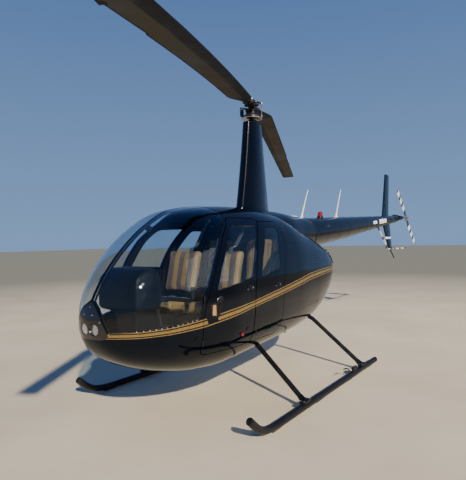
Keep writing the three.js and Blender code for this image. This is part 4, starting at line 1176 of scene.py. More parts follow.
# along the chord, and half the section's width in thicknesses
SECTION = np.array([
    (0, 0.0), (0.008, 0.14), (0.03, 0.28), (0.07, 0.38), (0.15, 0.475), (0.27, 0.5), (0.345, 0.496),
    (0.375, 0.492), (0.55, 0.415), (0.72, 0.28), (0.93, 0.09), (0.95, 0.07), (1.0, 0.03),
])
SECTION_T = np.concatenate([SECTION[:, 0], SECTION[:0:-1, 0]])
SECTION_W = np.concatenate([SECTION[:, 1], -SECTION[:0:-1, 1]])
# distance from the hub, chord, thickness
BLADE_ROWS = [(0.239, 0.1, 0.044), (0.33, 0.15, 0.042), (0.43, 0.215, 0.039), (0.52, CHORD, 0.036),
              (1.4, CHORD, 0.031), (2.93, CHORD, 0.03)]
OUTER_ROWS = [(2.96, CHORD, 0.03), (3.0, CHORD_OUTER, 0.03), (4.0, CHORD_OUTER, 0.029),
              (4.96, CHORD_OUTER, 0.028), (RADIUS - 0.028, CHORD_OUTER, 0.028), (RADIUS - 0.01, 0.238, 0.026),
              (RADIUS, 0.228, 0.016)]
TAB_R = 3.62


def parked(part, degrees=0.0):
    """The part turned to the rotor's parked azimuth, and by so many degrees more."""
    return moved(part, turn_about((0, 0, 1), AZIMUTH + degrees))


def teetered(part):
    """The part rocked about the hub's teeter hinge."""
    points, faces = part
    hub = np.array([0, 0, HUB_Z])
    return (points - hub) @ turn_about((0, 1, 0), -TEETER).T + hub, faces


def droop(r, slope, sag):
    """The blade's height: it hangs slope r + sag r^2 below the hub."""
    return HUB_Z - slope * r - sag * r * r


def blade(slope, sag):
    """Aerofoil rings along x with a straight leading edge, and where the underside is pale."""
    r, chord, thick = np.concatenate([eased_rows(BLADE_ROWS, 34), OUTER_ROWS]).T[:, :, None]
    nose = np.where(chord > 0.2, NOSE_PART * CHORD, NOSE_PART * chord)
    height = droop(r, slope, sag) + SECTION_W * thick
    rings = np.stack([r + 0 * SECTION_T, nose - SECTION_T * chord, height], -1)
    pale = np.where(SECTION_W < 0, np.minimum(SECTION_T - PALE_FROM, PALE_TO - SECTION_T) * 12 + 0.5, -1.0)
    inboard = np.clip((r - 0.56) * 30, -1, 1)
    return loft(rings), np.append(np.minimum(pale, 0.5 + inboard).ravel(), (0.0, 0.0))


for name, degrees, slope, sag in (("aft", 0, 0.039, 0.00167), ("forward", 180, 0.0992, 0.01089)):
    name = "rotor_blade_" + name
    part, marks = blade(slope, sag)
    add_piece(name + "_skin", parked(part, degrees), BLADE, [name], body="main_rotor",
              marks={"pale_strip": marks})
    height = float(droop(TAB_R, slope, sag))
    trailing = NOSE_PART * CHORD - CHORD_OUTER
    tab = block(TAB_R - 0.06, TAB_R + 0.07, trailing - 0.012, trailing + 0.03,
                height - 0.0018, height + 0.0012, 0.0008)
    add_piece(name + "_tab", parked(tab, degrees), BLADE, body="main_rotor")

SWASH_Z, GRIP_X, GRIP_Z = 3.055, 0.19, HUB_Z - 0.017
YOKE = rounded([
    (-0.235, HUB_Z - 0.038, 0.012), (0.235, HUB_Z - 0.038, 0.012), (0.235, HUB_Z + 0.004, 0.012),
    (0.085, HUB_Z + 0.028, 0.03), (-0.085, HUB_Z + 0.028, 0.03), (-0.235, HUB_Z + 0.004, 0.012),
], 5)
BOLT = np.array([(-0.086, 0.012), (-0.086, 0.018), (-0.076, 0.02), (-0.074, 0.026), (0.074, 0.026),
                 (0.076, 0.02), (0.086, 0.018), (0.086, 0.012)])
GRIP = [(0, 0.018), (0.004, 0.034), (0.02, 0.0345), (0.026, 0.03), (0.04, 0.03), (0.044, 0.026)]
CAP_NUT = [(0, 0.04), (0.026, 0.04), (0.028, 0.044), (0.036, 0.044), (0.038, 0.034), (0.05, 0.033),
           (0.055, 0.036), (0.0655, 0.0355), (0.066, 0.034)]
NUT = [(0, 0.012), (0.0085, 0.012), (0.0095, 0.008), (0.013, 0.0075)]
yoke = [slab(YOKE, -0.046, 0.046, 0.006), spun(BOLT, (0, 0, HUB_Z), (0, 1, 0), 20)]
grips, nuts = [], []
for s in (-1, 1):
    yoke.append(spun(BOLT * (0.86, 0.72), (s * GRIP_X, 0, GRIP_Z), (0, 1, 0), 18))
    grips.append(spun(GRIP, (s * 0.205, 0, HUB_Z - 0.016), (s, 0, -0.06), 24))
    nuts += [teetered(spun(NUT, (s * GRIP_X, y * 0.073, GRIP_Z), (0, y, 0), 6)) for y in (-1, 1)]
add_piece("rotor_yoke", parked(teetered(join(*yoke, *grips))), DARK_STEEL, ["rotor_head"], body="main_rotor")
nuts = join(spun(CAP_NUT, (0, 0, HUB_Z), sides=24), *nuts)
add_piece("rotor_head_nuts", parked(nuts), STEEL, ["rotor_head"], body="main_rotor")

MAST_TUBE = [(2.992, 0.03), (3.172, 0.03), (3.173, 0.026)]
UPPER_PLATE = [(0.004, 0.04), (0.004, 0.104), (0.007, 0.112), (0.017, 0.112), (0.02, 0.104), (0.02, 0.044),
               (0.034, 0.042), (0.036, 0.036)]
SLIDER = [(3.074, 0.05), (3.076, 0.076), (3.096, 0.079), (3.1, 0.068), (3.122, 0.066), (3.126, 0.076),
          (3.148, 0.078), (3.156, 0.066), (3.16, 0.04)]
LOWER_PLATE = [(-0.02, 0.05), (-0.02, 0.112), (-0.017, 0.122), (-0.01, 0.126), (-0.004, 0.124),
               (-0.002, 0.11), (-0.001, 0.05)]
BALL = [(-0.01, 0.004), (-0.008, 0.0085), (0, 0.0105), (0.008, 0.0085), (0.01, 0.004)]
BOOT = [(2.978, 0.062), (2.99, 0.066), (2.996, 0.06), (3.002, 0.064), (3.008, 0.057), (3.014, 0.06),
        (3.02, 0.052), (3.0205, 0.038)]
add_piece("rotor_slider", spun(SLIDER, sides=36), SATIN, body="main_rotor")
turning, links = [spun(MAST_TUBE, sides=28), spun(UPPER_PLATE, (0, 0, SWASH_Z), sides=40)], []
for s in (-1, 1):
    foot, top = (0, s * 0.118, SWASH_Z + 0.01), (s * 0.07, s * 0.126, HUB_Z - 0.014)
    width = 0.0058 + 0.0032 * (np.abs(np.linspace(-1, 1, 12)) > 0.6)
    links.append(rod(foot, top, width, 14, 12))
    links += [spun(BALL, end, (1, 0, 0), 16) for end in (foot, top)]
    if s > 0:
        turning.append(block(-0.024, 0.02, 0.1, 0.14, SWASH_Z + 0.022, HUB_Z - 0.03, 0.006))
    horn = np.array([(s * 0.07, s * 0.126, HUB_Z - 0.016), (s * 0.12, s * 0.095, HUB_Z - 0.014),
                     (s * 0.175, s * 0.045, HUB_Z - 0.016)])
    turning.append(tube(horn, (0.009, 0.012, 0.014), 12, 0.7))
add_piece("rotor_mast", parked(join(*turning)), DARK_STEEL, ["rotor_shaft"], body="main_rotor")
add_piece("pitch_links", parked(join(*links)), STEEL, ["rotor_shaft"], body="main_rotor")
add_piece("swashplate_ring", spun(LOWER_PLATE, (0, 0, SWASH_Z), sides=48), STEEL, ["rotor_shaft"],
          body="main_rotor")
add_piece("mast_boot", spun(BOOT), RUBBER)

# Tail rotor
TAIL_HUB, TAIL_TURN, TAIL_TEETER = np.array([TAIL_SHAFT_X, -0.231, TAIL_SHAFT_Z]), 47, 3.5
TAIL_ROWS = np.array([(0.06, 0.07, 0.022), (0.105, 0.1, 0.02), (0.15, 0.13, 0.018), (0.7, 0.13, 0.0125),
                      (0.722, 0.128, 0.0115), (0.735, 0.118, 0.006)])
TAIL_WHITE = ((0.2, 0.32), (0.4, 0.515), (0.595, 0.705))
HUB = [(-0.042, 0.02), (-0.038, 0.026), (-0.026, 0.026), (-0.022, 0.04), (0.026, 0.04), (0.03, 0.0255),
       (0.068, 0.024), (0.07, 0.018)]
HUB_BAR = [(-0.078, 0.016), (-0.074, 0.023), (-0.045, 0.024), (0.045, 0.024), (0.074, 0.023), (0.078, 0.016)]


def tail_parked(part, degrees=0.0, tip=0.0):
    """A part of the tail rotor, made about its hub, tipped about z, turned about y and set in place."""
    part = moved(part, turn_about((0, 0, 1), tip))
    return moved(part, turn_about((0, 1, 0), TAIL_TURN + degrees), TAIL_HUB)


fine = np.concatenate([np.linspace(0.06, 0.7, 65), TAIL_ROWS[4:, 0]])
r = fine[:, None]
chord, thick = (np.interp(fine, TAIL_ROWS[:, 0], TAIL_ROWS[:, k])[:, None] for k in (1, 2))
tail_blade = loft(np.stack([r + 0 * SECTION_T, SECTION_W * thick, (NOSE_PART - SECTION_T) * chord], -1))
black = np.append(np.repeat(1 - in_ranges(fine, TAIL_WHITE), len(SECTION_T)), (1, 1))
tail_blades = join(tail_parked(tail_blade, 0, -TAIL_TEETER), tail_parked(tail_blade, 180, TAIL_TEETER))
add_piece("tail_rotor_blades", tail_blades, BANDED, ["tail_rotor"], body="tail_rotor",
          marks={"black_band": np.tile(black, 2)})
tail_hub = [spun(HUB, TAIL_HUB, (0, 1, 0), 28),
            tail_parked(spun(HUB_BAR, axis=(1, 0, 0), sides=20), 0, -TAIL_TEETER)]
for s in (-1, 1):
    horn = np.array([(s * 0.055, 0.006, 0), (s * 0.05, 0.02, -0.045), (s * 0.02, 0.03, -0.05)])
    tail_hub.append(tail_parked(tube(horn, 0.006, 10)))
add_piece("tail_rotor_hub", join(*tail_hub), STEEL, ["tail_rotor"], body="tail_rotor")

# Skid gear
SKID_Y, SKID_R, SKID_Z, LEG_R = 1.037, 0.033, 0.037, 0.025
FOOT_Z, SADDLE = 0.0705, (0.0705, 0.0945)  # where the legs end, and the heights of the saddle round each
# node, foot's station, elbow's station, distance out and height
LEGS = (("front_cross_tube", -0.8, -0.576, 0.425, 0.506), ("rear_cross_tube", 0.73, 0.786, 0.402, 0.594))
CUFF = [(0, 0.0338), (0.012, 0.0338), (0.016, 0.031), (0.075, 0.029), (0.08, 0.026)]
PLUG = np.array([(-0.004, 0.0325), (0.004, 0.0335), (0.01, 0.031), (0.014, 0.022), (0.014, 0.02),
                 (0.004, 0.018)])
for name, foot_x, elbow_x, elbow_y, elbow_z in LEGS:
    half = [(foot_x, SKID_Y, FOOT_Z), (elbow_x, elbow_y - 0.06, elbow_z, 0.07)]
    path = bent([(x, -y, *rest) for x, y, *rest in half] + half[::-1], 13)
    gear, bolts = [tube(path, LEG_R, 20)], []
    for side in (-1, 1):
        y = side * SKID_Y
        foot = np.array([foot_x, y, 0.07])
        gear.append(spun(CUFF, foot, (elbow_x, side * (elbow_y - 0.06), elbow_z) - foot, 20))
        gear.append(block(foot_x - 0.07, foot_x + 0.07, y - 0.03, y + 0.03, *SADDLE, 0.006))
        bolts += [(foot_x + dx, y + dy, SADDLE[1]) for dx in (-0.055, 0.055) for dy in (-0.018, 0.018)]
    add_piece(name + "_pair", join(*gear), SATIN, [name])
    add_piece(name + "_bolts", domes(bolts, np.tile([0, 0, 1.0], (len(bolts), 1)), 0.0075, 0.007), STEEL)
for hand, side in SIDES:
    y = side * SKID_Y
    path = bent([(-1.752, y, 0.2), (-1.59, y, 0.062, 0.11), (-1.38, y, SKID_Z, 0.06), (1.205, y, SKID_Z)], 13)
    shoes = [block(x - 0.075, x + 0.075, y - 0.013, y + 0.013, 0, 0.02, 0.003)
             for x in (-1.35, -0.5, 0.3, 1.0)]
    lug = block(0.43, 0.54, y - 0.012, y + 0.012, SKID_Z, 0.112, 0.003)
    add_piece("skid_runner_" + hand, join(tube(path, SKID_R, 24), *shoes, lug), SATIN, ["skid_" + hand])
    add_piece("skid_toe_plug_" + hand, spun(PLUG * (0.8, 0.98), path[0], path[0] - path[1], 24), RUBBER,
              ["skid_" + hand])

# Exhaust pipe of the engine block
PIPE = [(0.48, 0.0265), (0.436, 0.027), (0.433, 0.03), (0.44, 0.0318), (0.69, 0.0318), (0.74, 0.03)]
add_piece("exhaust_pipe", spun(PIPE, (0.42, -0.15, 0), sides=28), ENGINE)


# Cushions, blown up as cloth
def coords(mesh):
    """The mesh's points."""
    flat = np.empty(len(mesh.vertices) * 3, np.float32)
    mesh.vertices.foreach_get("co", flat)
    return flat.reshape(-1, 3).astype(float)


def evaluated(piece):
    """A new mesh of the piece with its modifiers applied."""
    return bpy.data.meshes.new_from_object(piece.evaluated_get(bpy.context.evaluated_depsgraph_get()))


def blown_up(part, voxel=0.01, pressure=4.0, cap=0.016, steps=20):
    """The part remeshed evenly, run as cloth with air inside and subdivided; no point moves past cap."""
    scene = bpy.context.scene
    mesh = bpy.data.meshes.new("padding")
    mesh.from_pydata(part[0].tolist(), [], part[1].tolist())
    pad = bpy.data.objects.new("padding", mesh)
    scene.collection.objects.link(pad)
    even = pad.modifiers.new("even", "REMESH")
    even.mode = "VOXEL"
    even.voxel_size = voxel
    pad.data = evaluated(pad)
    pad.modifiers.clear()
    start = coords(pad.data)
    air = pad.modifiers.new("air", "CLOTH")
    air.settings.quality = 5
    air.settings.use_pressure = True
    air.settings.uniform_pressure_force = pressure
    air.settings.effector_weights.gravity = 0
    air.point_cache.frame_start, air.point_cache.frame_end = 1, steps
    for frame_number in range(1, steps + 1):
        scene.frame_set(frame_number)
    step = coords(evaluated(pad)) - start
    length = np.linalg.norm(step, axis=1, keepdims=True)
    blown = start + step * np.minimum(1, cap / np.maximum(length, 1e-9))
    pad.modifiers.clear()
    scene.frame_set(1)
    pad.data.vertices.foreach_set("co", blown.astype(np.float32).ravel())
    smooth = pad.modifiers.new("smooth", "SUBSURF")
    smooth.levels = smooth.render_levels = 1
    fine = evaluated(pad)
    fine.calc_loop_triangles()
    faces = np.empty(len(fine.loop_triangles) * 3, np.int32)
    fine.loop_triangles.foreach_get("vertices", faces)
    bpy.data.objects.remove(pad)
    return coords(fine), faces.reshape(-1, 3)


STRIPE_PITCH, STRIPE_WIDE = 0.125, 0.052
SEAM_WIDE, STRIPE_SEAM, BORDER_SEAM = 0.0045, 0.003, 0.0022  # a seam's width, and how far the two kinds sink


def hollow(distance):
    """A sewn groove's depth: 1 at its line, dying away over SEAM_WIDE."""
    return np.exp(-((distance / SEAM_WIDE) ** 2))


def cushion(long, wide, thick, crown):
    """A crowned pad centred on the origin, its length along x and its facing side up.

    The plan is a rectangle with rounded corners whose sides pull in between the corners by 4 mm. The facing
    side rises by crown times (1 - u^4)(1 - v^4). Seams sink along the stripes, the border and the side."""
    a, b, half = long / 2 - 0.018, wide / 2 - 0.018, thick / 2 - 0.01
    plan = dense(rounded([(-a, -b, 0.045), (a, -b, 0.045), (a, b, 0.045), (-a, b, 0.045)], 8), 0.012)
    u, v = plan[:, 0] / a, plan[:, 1] / b
    plan = plan * np.stack([1 - 0.004 / a * (1 - v**2), 1 - 0.004 / b * (1 - u**2)], 1)
    points, faces = slab(plan, -half, half, 0.022)
    points, faces = blown_up(outwards(points[:, [0, 2, 1]], faces))
    x, y, z = points.T
    u, v = np.clip(x / a, -1, 1), np.clip(y / b, -1, 1)
    top = np.clip(z / (half * 0.6), 0, 1)
    edge = np.minimum(a - np.abs(x), b - np.abs(y))
    stripe = np.abs((y + STRIPE_PITCH / 2) % STRIPE_PITCH - STRIPE_PITCH / 2)
    lines = hollow(stripe - STRIPE_WIDE / 2) * (edge > 0.014) * top
    border = hollow(edge - 0.01) * top
    side = hollow(z - half * 0.55) * (edge < -0.002)
    z = z + top * crown * (1 - u**4) * (1 - v**4) - STRIPE_SEAM * lines - BORDER_SEAM * border
    pinch = 1 - BORDER_SEAM * side / np.hypot(x, y).clip(0.05)
    points = np.stack([x * pinch, y * pinch, np.maximum(z, -thick / 2 + 0.0005)], 1)
    tint = (stripe < STRIPE_WIDE / 2) & (edge > 0.012) & (top > 0.6)
    seam = np.maximum(np.maximum(lines, border), side)
    return (points, faces), {"seam": seam, "stripe_tint": tint.astype(float)}


PAD_WIDE, PAD_THICK, BACK_THICK, SEAT_Y = 0.468, 0.096, 0.084, 0.265
SEATS = {
    # centre x and z, length, turn about y in degrees, thickness, crown
    "front_seat": (-1.265, 0.957, 0.39, 5, PAD_THICK, 0.004),
    "front_back": (-0.99, 1.28, 0.49, -76, BACK_THICK, 0.008),
    "rear_seat": (-0.52, 0.998, 0.41, 2, PAD_THICK, 0.009),
    "rear_back": (-0.26, 1.357, 0.56, -84, BACK_THICK, 0.008),
}
for kind, (x, z, long, turn, thick, crown) in SEATS.items():
    pad, pad_marks = cushion(long, PAD_WIDE, thick, crown)
    if kind == "rear_back":
        pad_marks["stripe_tint"][:] = 0
    for hand, side in SIDES:
        laid = moved(pad, turn_about((0, 1, 0), turn), (x, side * SEAT_Y, z))
        piece = add_piece(f"{kind}_pad_{hand}", laid, LEATHER, [f"{kind}_{hand}"], marks=pad_marks, sharp=180)


# Cabin fittings
POD_MIDDLE, POD_HALF = np.array([-2.0, 1.19]), 0.24
POD_LINE = rounded([(-2.15, 1.03, 0.04), (-1.85, 1.02, 0.04), (-1.85, 1.3, 0.04), (-1.9, 1.38, 0.04),
                    (-2.04, 1.385, 0.06), (-2.15, 1.3, 0.06)], 8)
HOOD = rounded([(-1.85, 1.335, 0.006), (-1.79, 1.362, 0.01), (-1.795, 1.376, 0.006), (-1.88, 1.3845, 0.02),
                (-1.905, 1.372, 0.008)], 4)
PEDESTAL = rounded([(-1.99, 0.581, 0.01), (-1.72, 0.581, 0.01), (-1.81, 1.03, 0.05), (-2.06, 1.03, 0.05)], 6)
RADIO_FACE = rounded([(-1.742, 0.7, 0.004), (-1.73, 0.7, 0.004), (-1.7855, 0.98, 0.004),
                      (-1.797, 0.98, 0.004)], 3)


def pod_shell():
    """The pod: its side outline carried across, drawn in towards its middle by a tenth of q^5, and by as much
    again over the last part of each cheek."""
    q = np.concatenate([np.linspace(-1, -0.8, 9), np.linspace(-0.75, 0.75, 13), np.linspace(0.8, 1, 9)])
    shrink = 1 - 0.1 * np.abs(q) ** 5 - 0.1 * np.clip((np.abs(q) - 0.93) / 0.07, 0, 1) ** 2
    line = POD_MIDDLE + (POD_LINE - POD_MIDDLE)[None] * shrink[:, None, None]
    y = np.broadcast_to((POD_HALF * q)[:, None], line.shape[:2])
    return loft(np.stack([line[..., 0], y, line[..., 1]], -1))


add_piece("console_pod", pod_shell(), CONSOLE, ["instrument_console"])
pedestal = join(slab(PEDESTAL, -0.12, 0.12, 0.012), slab(HOOD, -0.2, 0.2, 0.01),
                slab(RADIO_FACE, -0.085, 0.085, 0.003))
add_piece("console_pedestal", pedestal, CONSOLE, ["instrument_console"])

# rows of dials on the panel's face: their radii, from left to right
DIAL_Y, DIAL_ROWS = (-0.15, -0.052, 0.052, 0.15), ((1.245, (0.04,) * 4), (1.14, (0.036, 0.04, 0.04, 0.036)))
PANEL_X = -1.852
bezels, dials, marks = [], [], []
for y, z, r in [(y, z, r) for z, radii in DIAL_ROWS for y, r in zip(DIAL_Y, radii)]:
    bezel = [(0, r), (0.01, r), (0.012, r - 0.003), (0.012, r - 0.006), (0.006, r - 0.008),
             (0.004, r - 0.008)]
    bezels.append(spun(bezel, (PANEL_X - 0.001, y, z), (1, 0, 0), 28))
    dial = [(0, r - 0.007), (0.0045, r - 0.007), (0.005, r - 0.01)]
    dials.append(spun(dial, (PANEL_X, y, z), (1, 0, 0), 28))
    for angle in np.linspace(-0.75 * np.pi, 0.75 * np.pi, 11):
        spoke = np.array([0, math.sin(angle), math.cos(angle)])
        tick = np.linspace(r - 0.016, r - 0.011, 2)[:, None] * spoke + (PANEL_X + 0.0052, y, z)
        marks.append(tube(tick, 0.0007, 6))
    aim = y * 31 + z * 7
    needle = np.linspace(-0.004, r - 0.014, 3)[:, None] * np.array([0, math.sin(aim), math.cos(aim)])
    marks.append(tube(needle + (PANEL_X + 0.0065, y, z), (0.0013, 0.001, 0.0005), 8))
KNOB = [(0, 0.008), (0.011, 0.0075), (0.013, 0.006)]
for row in range(4):
    z = 0.735 + 0.058 * row
    x = -1.735 - 0.1967 * (z - 0.7)
    dials.append(block(x - 0.004, x + 0.0055, -0.07, 0.07, z - 0.02, z + 0.02, 0.003))
    bezels += [spun(KNOB, (x + 0.004, y, z), (1, 0, 0.2), 16) for y in (-0.055, 0.055)]
add_piece("dial_bezels", join(*bezels), SATIN)
add_piece("dial_faces", join(*dials), RUBBER)
add_piece("dial_marks", join(*marks), WHITE)

# Cyclic stick with its swinging bar
STICK_X, BAR_Y, BAR_Z = -1.56, 0.33, 1.06
COVER = [(0, 0.052), (0.006, 0.052), (0.012, 0.044), (0.022, 0.046), (0.03, 0.034), (0.042, 0.036),
         (0.052, 0.024), (0.07, 0.02)]
HINGE = [(-0.03, 0.014), (-0.028, 0.022), (0.028, 0.022), (0.03, 0.014)]
HANDGRIP = [(0, 0.0165), (0.004, 0.0185), (0.02, 0.0165), (0.036, 0.0185), (0.052, 0.0165), (0.068, 0.0185),
            (0.084, 0.0175), (0.094, 0.021), (0.104, 0.02), (0.112, 0.012)]
stick = bent([(STICK_X, 0, 0.586), (-1.68, 0, 1.045, 0.08), (STICK_X, 0, BAR_Z)], 12)
bar = bent([(STICK_X, -BAR_Y, 1.15), (STICK_X, -BAR_Y, BAR_Z, 0.05), (STICK_X, BAR_Y, BAR_Z, 0.05),
            (STICK_X, BAR_Y, 1.15)], 10)
hinge = spun(HINGE, (STICK_X, 0, BAR_Z), (0, 1, 0), 20)
cyclic = join(tube(stick, 0.015, 18), tube(bar, 0.0125, 16), hinge)
add_piece("cyclic_tubes", cyclic, RUBBER, ["cyclic_stick"])
handgrips = [spun(HANDGRIP, (STICK_X, y, 1.078), sides=20) for y in (-BAR_Y, BAR_Y)]
cover = spun(COVER, (STICK_X, 0, 0.581), (-0.08, 0, 1), 24)
add_piece("cyclic_grips", join(*handgrips, cover), RUBBER, ["cyclic_stick"])

# Collective levers between each front seat and the middle, and pedals ahead of them
HANDLE = [(0, 0.016), (0.004, 0.0195), (0.11, 0.0195), (0.118, 0.024), (0.14, 0.023), (0.146, 0.014)]
levers, handles, pedals = [], [], []
for side in (-1, 1):
    y = side * SEAT_Y - SEAT_Y
    base, end = np.array([-1.15, y, 0.61]), np.array([STICK_X, y, 0.8])
    levers.append(rod(base, end, 0.0125, 16, 9))
    handles.append(spun(HANDLE, base + 0.72 * (end - base), end - base, 20))
    for k in (-1, 1):
        foot = np.array([-2.03, side * 0.215 + k * 0.062, 0.64])
        top = foot + (-0.035, 0, 0.11)
        plate = block(-0.006, 0.006, -0.03, 0.03, -0.04, 0.045, 0.005)
        pedals += [rod(foot, top, 0.008, 12, 6), moved(plate, turn_about((0, 1, 0), -24), top)]
add_piece("collective_levers", join(*levers, *pedals), DARK_STEEL)
add_piece("collective_handles", join(*handles), RUBBER)

COMPASS = [(0, 0.016), (0.006, 0.024), (0.03, 0.027), (0.044, 0.024), (0.052, 0.014)]
compass_z = float(body_top(np.array(-1.74))) - 0.075
bracket = block(-1.768, -1.744, -0.006, 0.006, compass_z + 0.015, compass_z + 0.052, 0.002)
add_piece("compass", join(spun(COMPASS, (-1.78, 0, compass_z), (1, 0, 0), 24), bracket), SATIN)


# Seat belts
def strap(path, across=(0, 1, 0), wide=0.046, thick=0.0022):
    """Webbing: a flat band that follows the path, its width along the direction across at each point."""
    path = dense(np.asarray(path, float), 0.012, closed=False)
    along = unit(np.gradient(path, axis=0))
    side = np.broadcast_to(unit(np.asarray(across, float)), path.shape)
    side = unit(side - along * np.einsum("ij,ij->i", side, along)[:, None])
    up = np.cross(along, side)
    c, s = np.cos(full_turn(16)), np.sin(full_turn(16))
    flat = np.sign(c) * np.abs(c) ** 0.4 * wide / 2
    rise = s * thick / 2
    return loft(path[:, None] + flat[None, :, None] * side[:, None] + rise[None, :, None] * up[:, None])


def front_belt(y, top):
    """The path of a front seat's belt, over the seat back and up to its anchor."""
    return bent([(-1.085, y, 1.095), (-0.975, y, 1.525, 0.02), (-0.9, y, 1.535, 0.03), (-0.69, y, top)], 6)


front_belts = [front_belt(-0.345, 1.775), front_belt(0.16, 1.815)]
rear_belts = [
    bent([(-0.6, side * 0.455, 1.1), (-0.36, side * 0.45, 1.4, 0.05), (-0.185, side * 0.445, 1.535)], 6)
    for side in (-1, 1)
]
add_piece("front_belts", join(*(strap(line) for line in front_belts)), BELT)
add_piece("rear_belts", join(*(strap(line) for line in rear_belts)), RUBBER)
anchors = [block(x - 0.012, x + 0.012, y - 0.032, y + 0.032, z - 0.02, z + 0.02, 0.004)
           for x, y, z in (line[-1] for line in front_belts + rear_belts)]
lap_belts, buckles = [], []
for x, z in ((-1.14, 1.026), (-0.42, 1.058)):
    for y in (-SEAT_Y, SEAT_Y):
        q = np.linspace(-1, 1, 30)
        path = np.stack([x - 0.04 * (1 - q**2), y + 0.205 * q, z + 0.01 * (1 - q**4) - 0.01], 1)
        lap_belts.append(strap(path, (1, 0, 0), 0.044))
        buckles.append(block(x - 0.068, x - 0.012, y - 0.03, y + 0.03, z + 0.0005, z + 0.012, 0.004))
add_piece("lap_belts", join(*lap_belts), BELT)
add_piece("belt_buckles", join(*buckles, *anchors), STEEL)


# Outside fittings
def on_side(x, z, side=-1, lift=0.0):
    """A place on the body's side, lifted along the outward normal, and that normal."""
    x, z = np.broadcast_arrays(np.asarray(x, float), np.asarray(z, float))
    at = np.stack([x, side * side_y(x, z), z], -1)
    out = body_normal(at)
    return at + lift * out, out


def pad_on_side(outline, side, lift, thick=0.004):
    """A thin plate with a side view outline, bent to the body's side, its face lift proud of the skin."""
    outline = dense(np.asarray(outline, float), 0.006)
    middle = outline.mean(0)
    rings = []
    for shrink, rise in ((1.0, lift - thick), (1.0, lift - 0.001), (0.96, lift), (0.5, lift)):
        line = middle + (outline - middle) * shrink
        rings.append(on_side(*line.T, side, rise)[0])
    return loft(rings)


def oval(x, z, rx, rz, lean=0.0, count=28):
    """An ellipse in side view, leaning aft by so many degrees."""
    a = full_turn(count)
    u, v = rx * np.cos(a), rz * np.sin(a)
    c, s = math.cos(math.radians(lean)), math.sin(math.radians(lean))
    return np.stack([x + u * c + v * s, z - u * s + v * c], 1)


def screws(x, z, radius, height=0.002, sides=8):
    """Screw heads at side view places, on both sides."""
    at, out = (np.concatenate(v) for v in zip(*(on_side(x, z, side) for side in (-1, 1))))
    return domes(at, out, radius, height, sides)


def seam_row(x, z):
    """Side view places at a constant station."""
    return np.stack([np.full(len(z), x), z], 1)


edge_x = np.arange(-2.235, -1.735, 0.0425)
edge_z = np.interp(edge_x, STRIPE[:, 0], STRIPE[:, 1])
edge_z += 0.0035 + 0.004 * np.clip((edge_x + 2.1) * 3, 0, 1)
add_piece("windshield_screws", screws(edge_x, edge_z, 0.0038), WHITE)
POST = np.array([(-1.7, 1.075), (-1.622, 1.262), (-1.527, 1.445), (-1.407, 1.62), (-1.25, 1.757)])
SCREW_INSET = 0.018
cabin_z = np.linspace(0.62, 1.7, 19)
seams = np.concatenate([dense(POST, 0.052, closed=False) + (0.02, 0),
                        seam_row(CABIN_END - SCREW_INSET, cabin_z),
                        seam_row(CABIN_END + SCREW_INSET, cabin_z),
                        seam_row(TAIL_SEAM - SCREW_INSET, np.linspace(0.8, 1.5, 13))])
add_piece("panel_screws", screws(*seams.T, 0.004, 0.0014, 6), DARK_STEEL)

HANDLE_PLACES = (("front", -1.068, 1.152, 8), ("rear", -0.545, 1.14, 20))
STUD = [(0, 0.01), (0.01, 0.009), (0.011, 0.006)]
LOCK = np.array([(0.0, 0.0075), (0.004, 0.0075), (0.005, 0.006), (0.0046, 0.0015)])
# each starboard door's axis, as a place and a direction, and where the knuckles sit along it
HINGES = (("front", (-1.711, 0.572, 0.954), (0.14822, -0.03953, 0.98816), (-0.21, 0.16)),
          ("rear", (-1.016, 0.643, 0.954), (0.11877, -0.07918, 0.98976), (-0.22, 0.17)))
KNUCKLE = [(-0.024, 0.0035), (-0.023, 0.0055), (0.023, 0.0055), (0.024, 0.0035)]
VENT_X, VENT_Z, VENT_LEAN = -1.514, 1.086, -24
VENT_FRAME = rounded([(-1.616, 0.95, 0.012), (-1.528, 0.93, 0.016), (-1.52, 1.01, 0.02),
                      (-1.548, 1.062, 0.012), (-1.624, 1.064, 0.012)], 5)
VENT_BAR = rounded([(-1.536, 0.945, 0.006), (-1.52, 0.95, 0.006), (-1.508, 1.04, 0.006),
                    (-1.524, 1.05, 0.006)], 4)
TAN_TAB = rounded([(-1.606, 0.962, 0.006), (-1.562, 0.956, 0.006), (-1.566, 1.046, 0.006),
                   (-1.6, 1.05, 0.006)], 4)
LIGHT_BASE = [(-0.001, 0.021), (0.004, 0.021), (0.006, 0.019)]
LIGHT_DOME = [(0.004, 0.0165), (0.012, 0.016), (0.019, 0.0125), (0.023, 0.0065), (0.0242, 0.0015)]
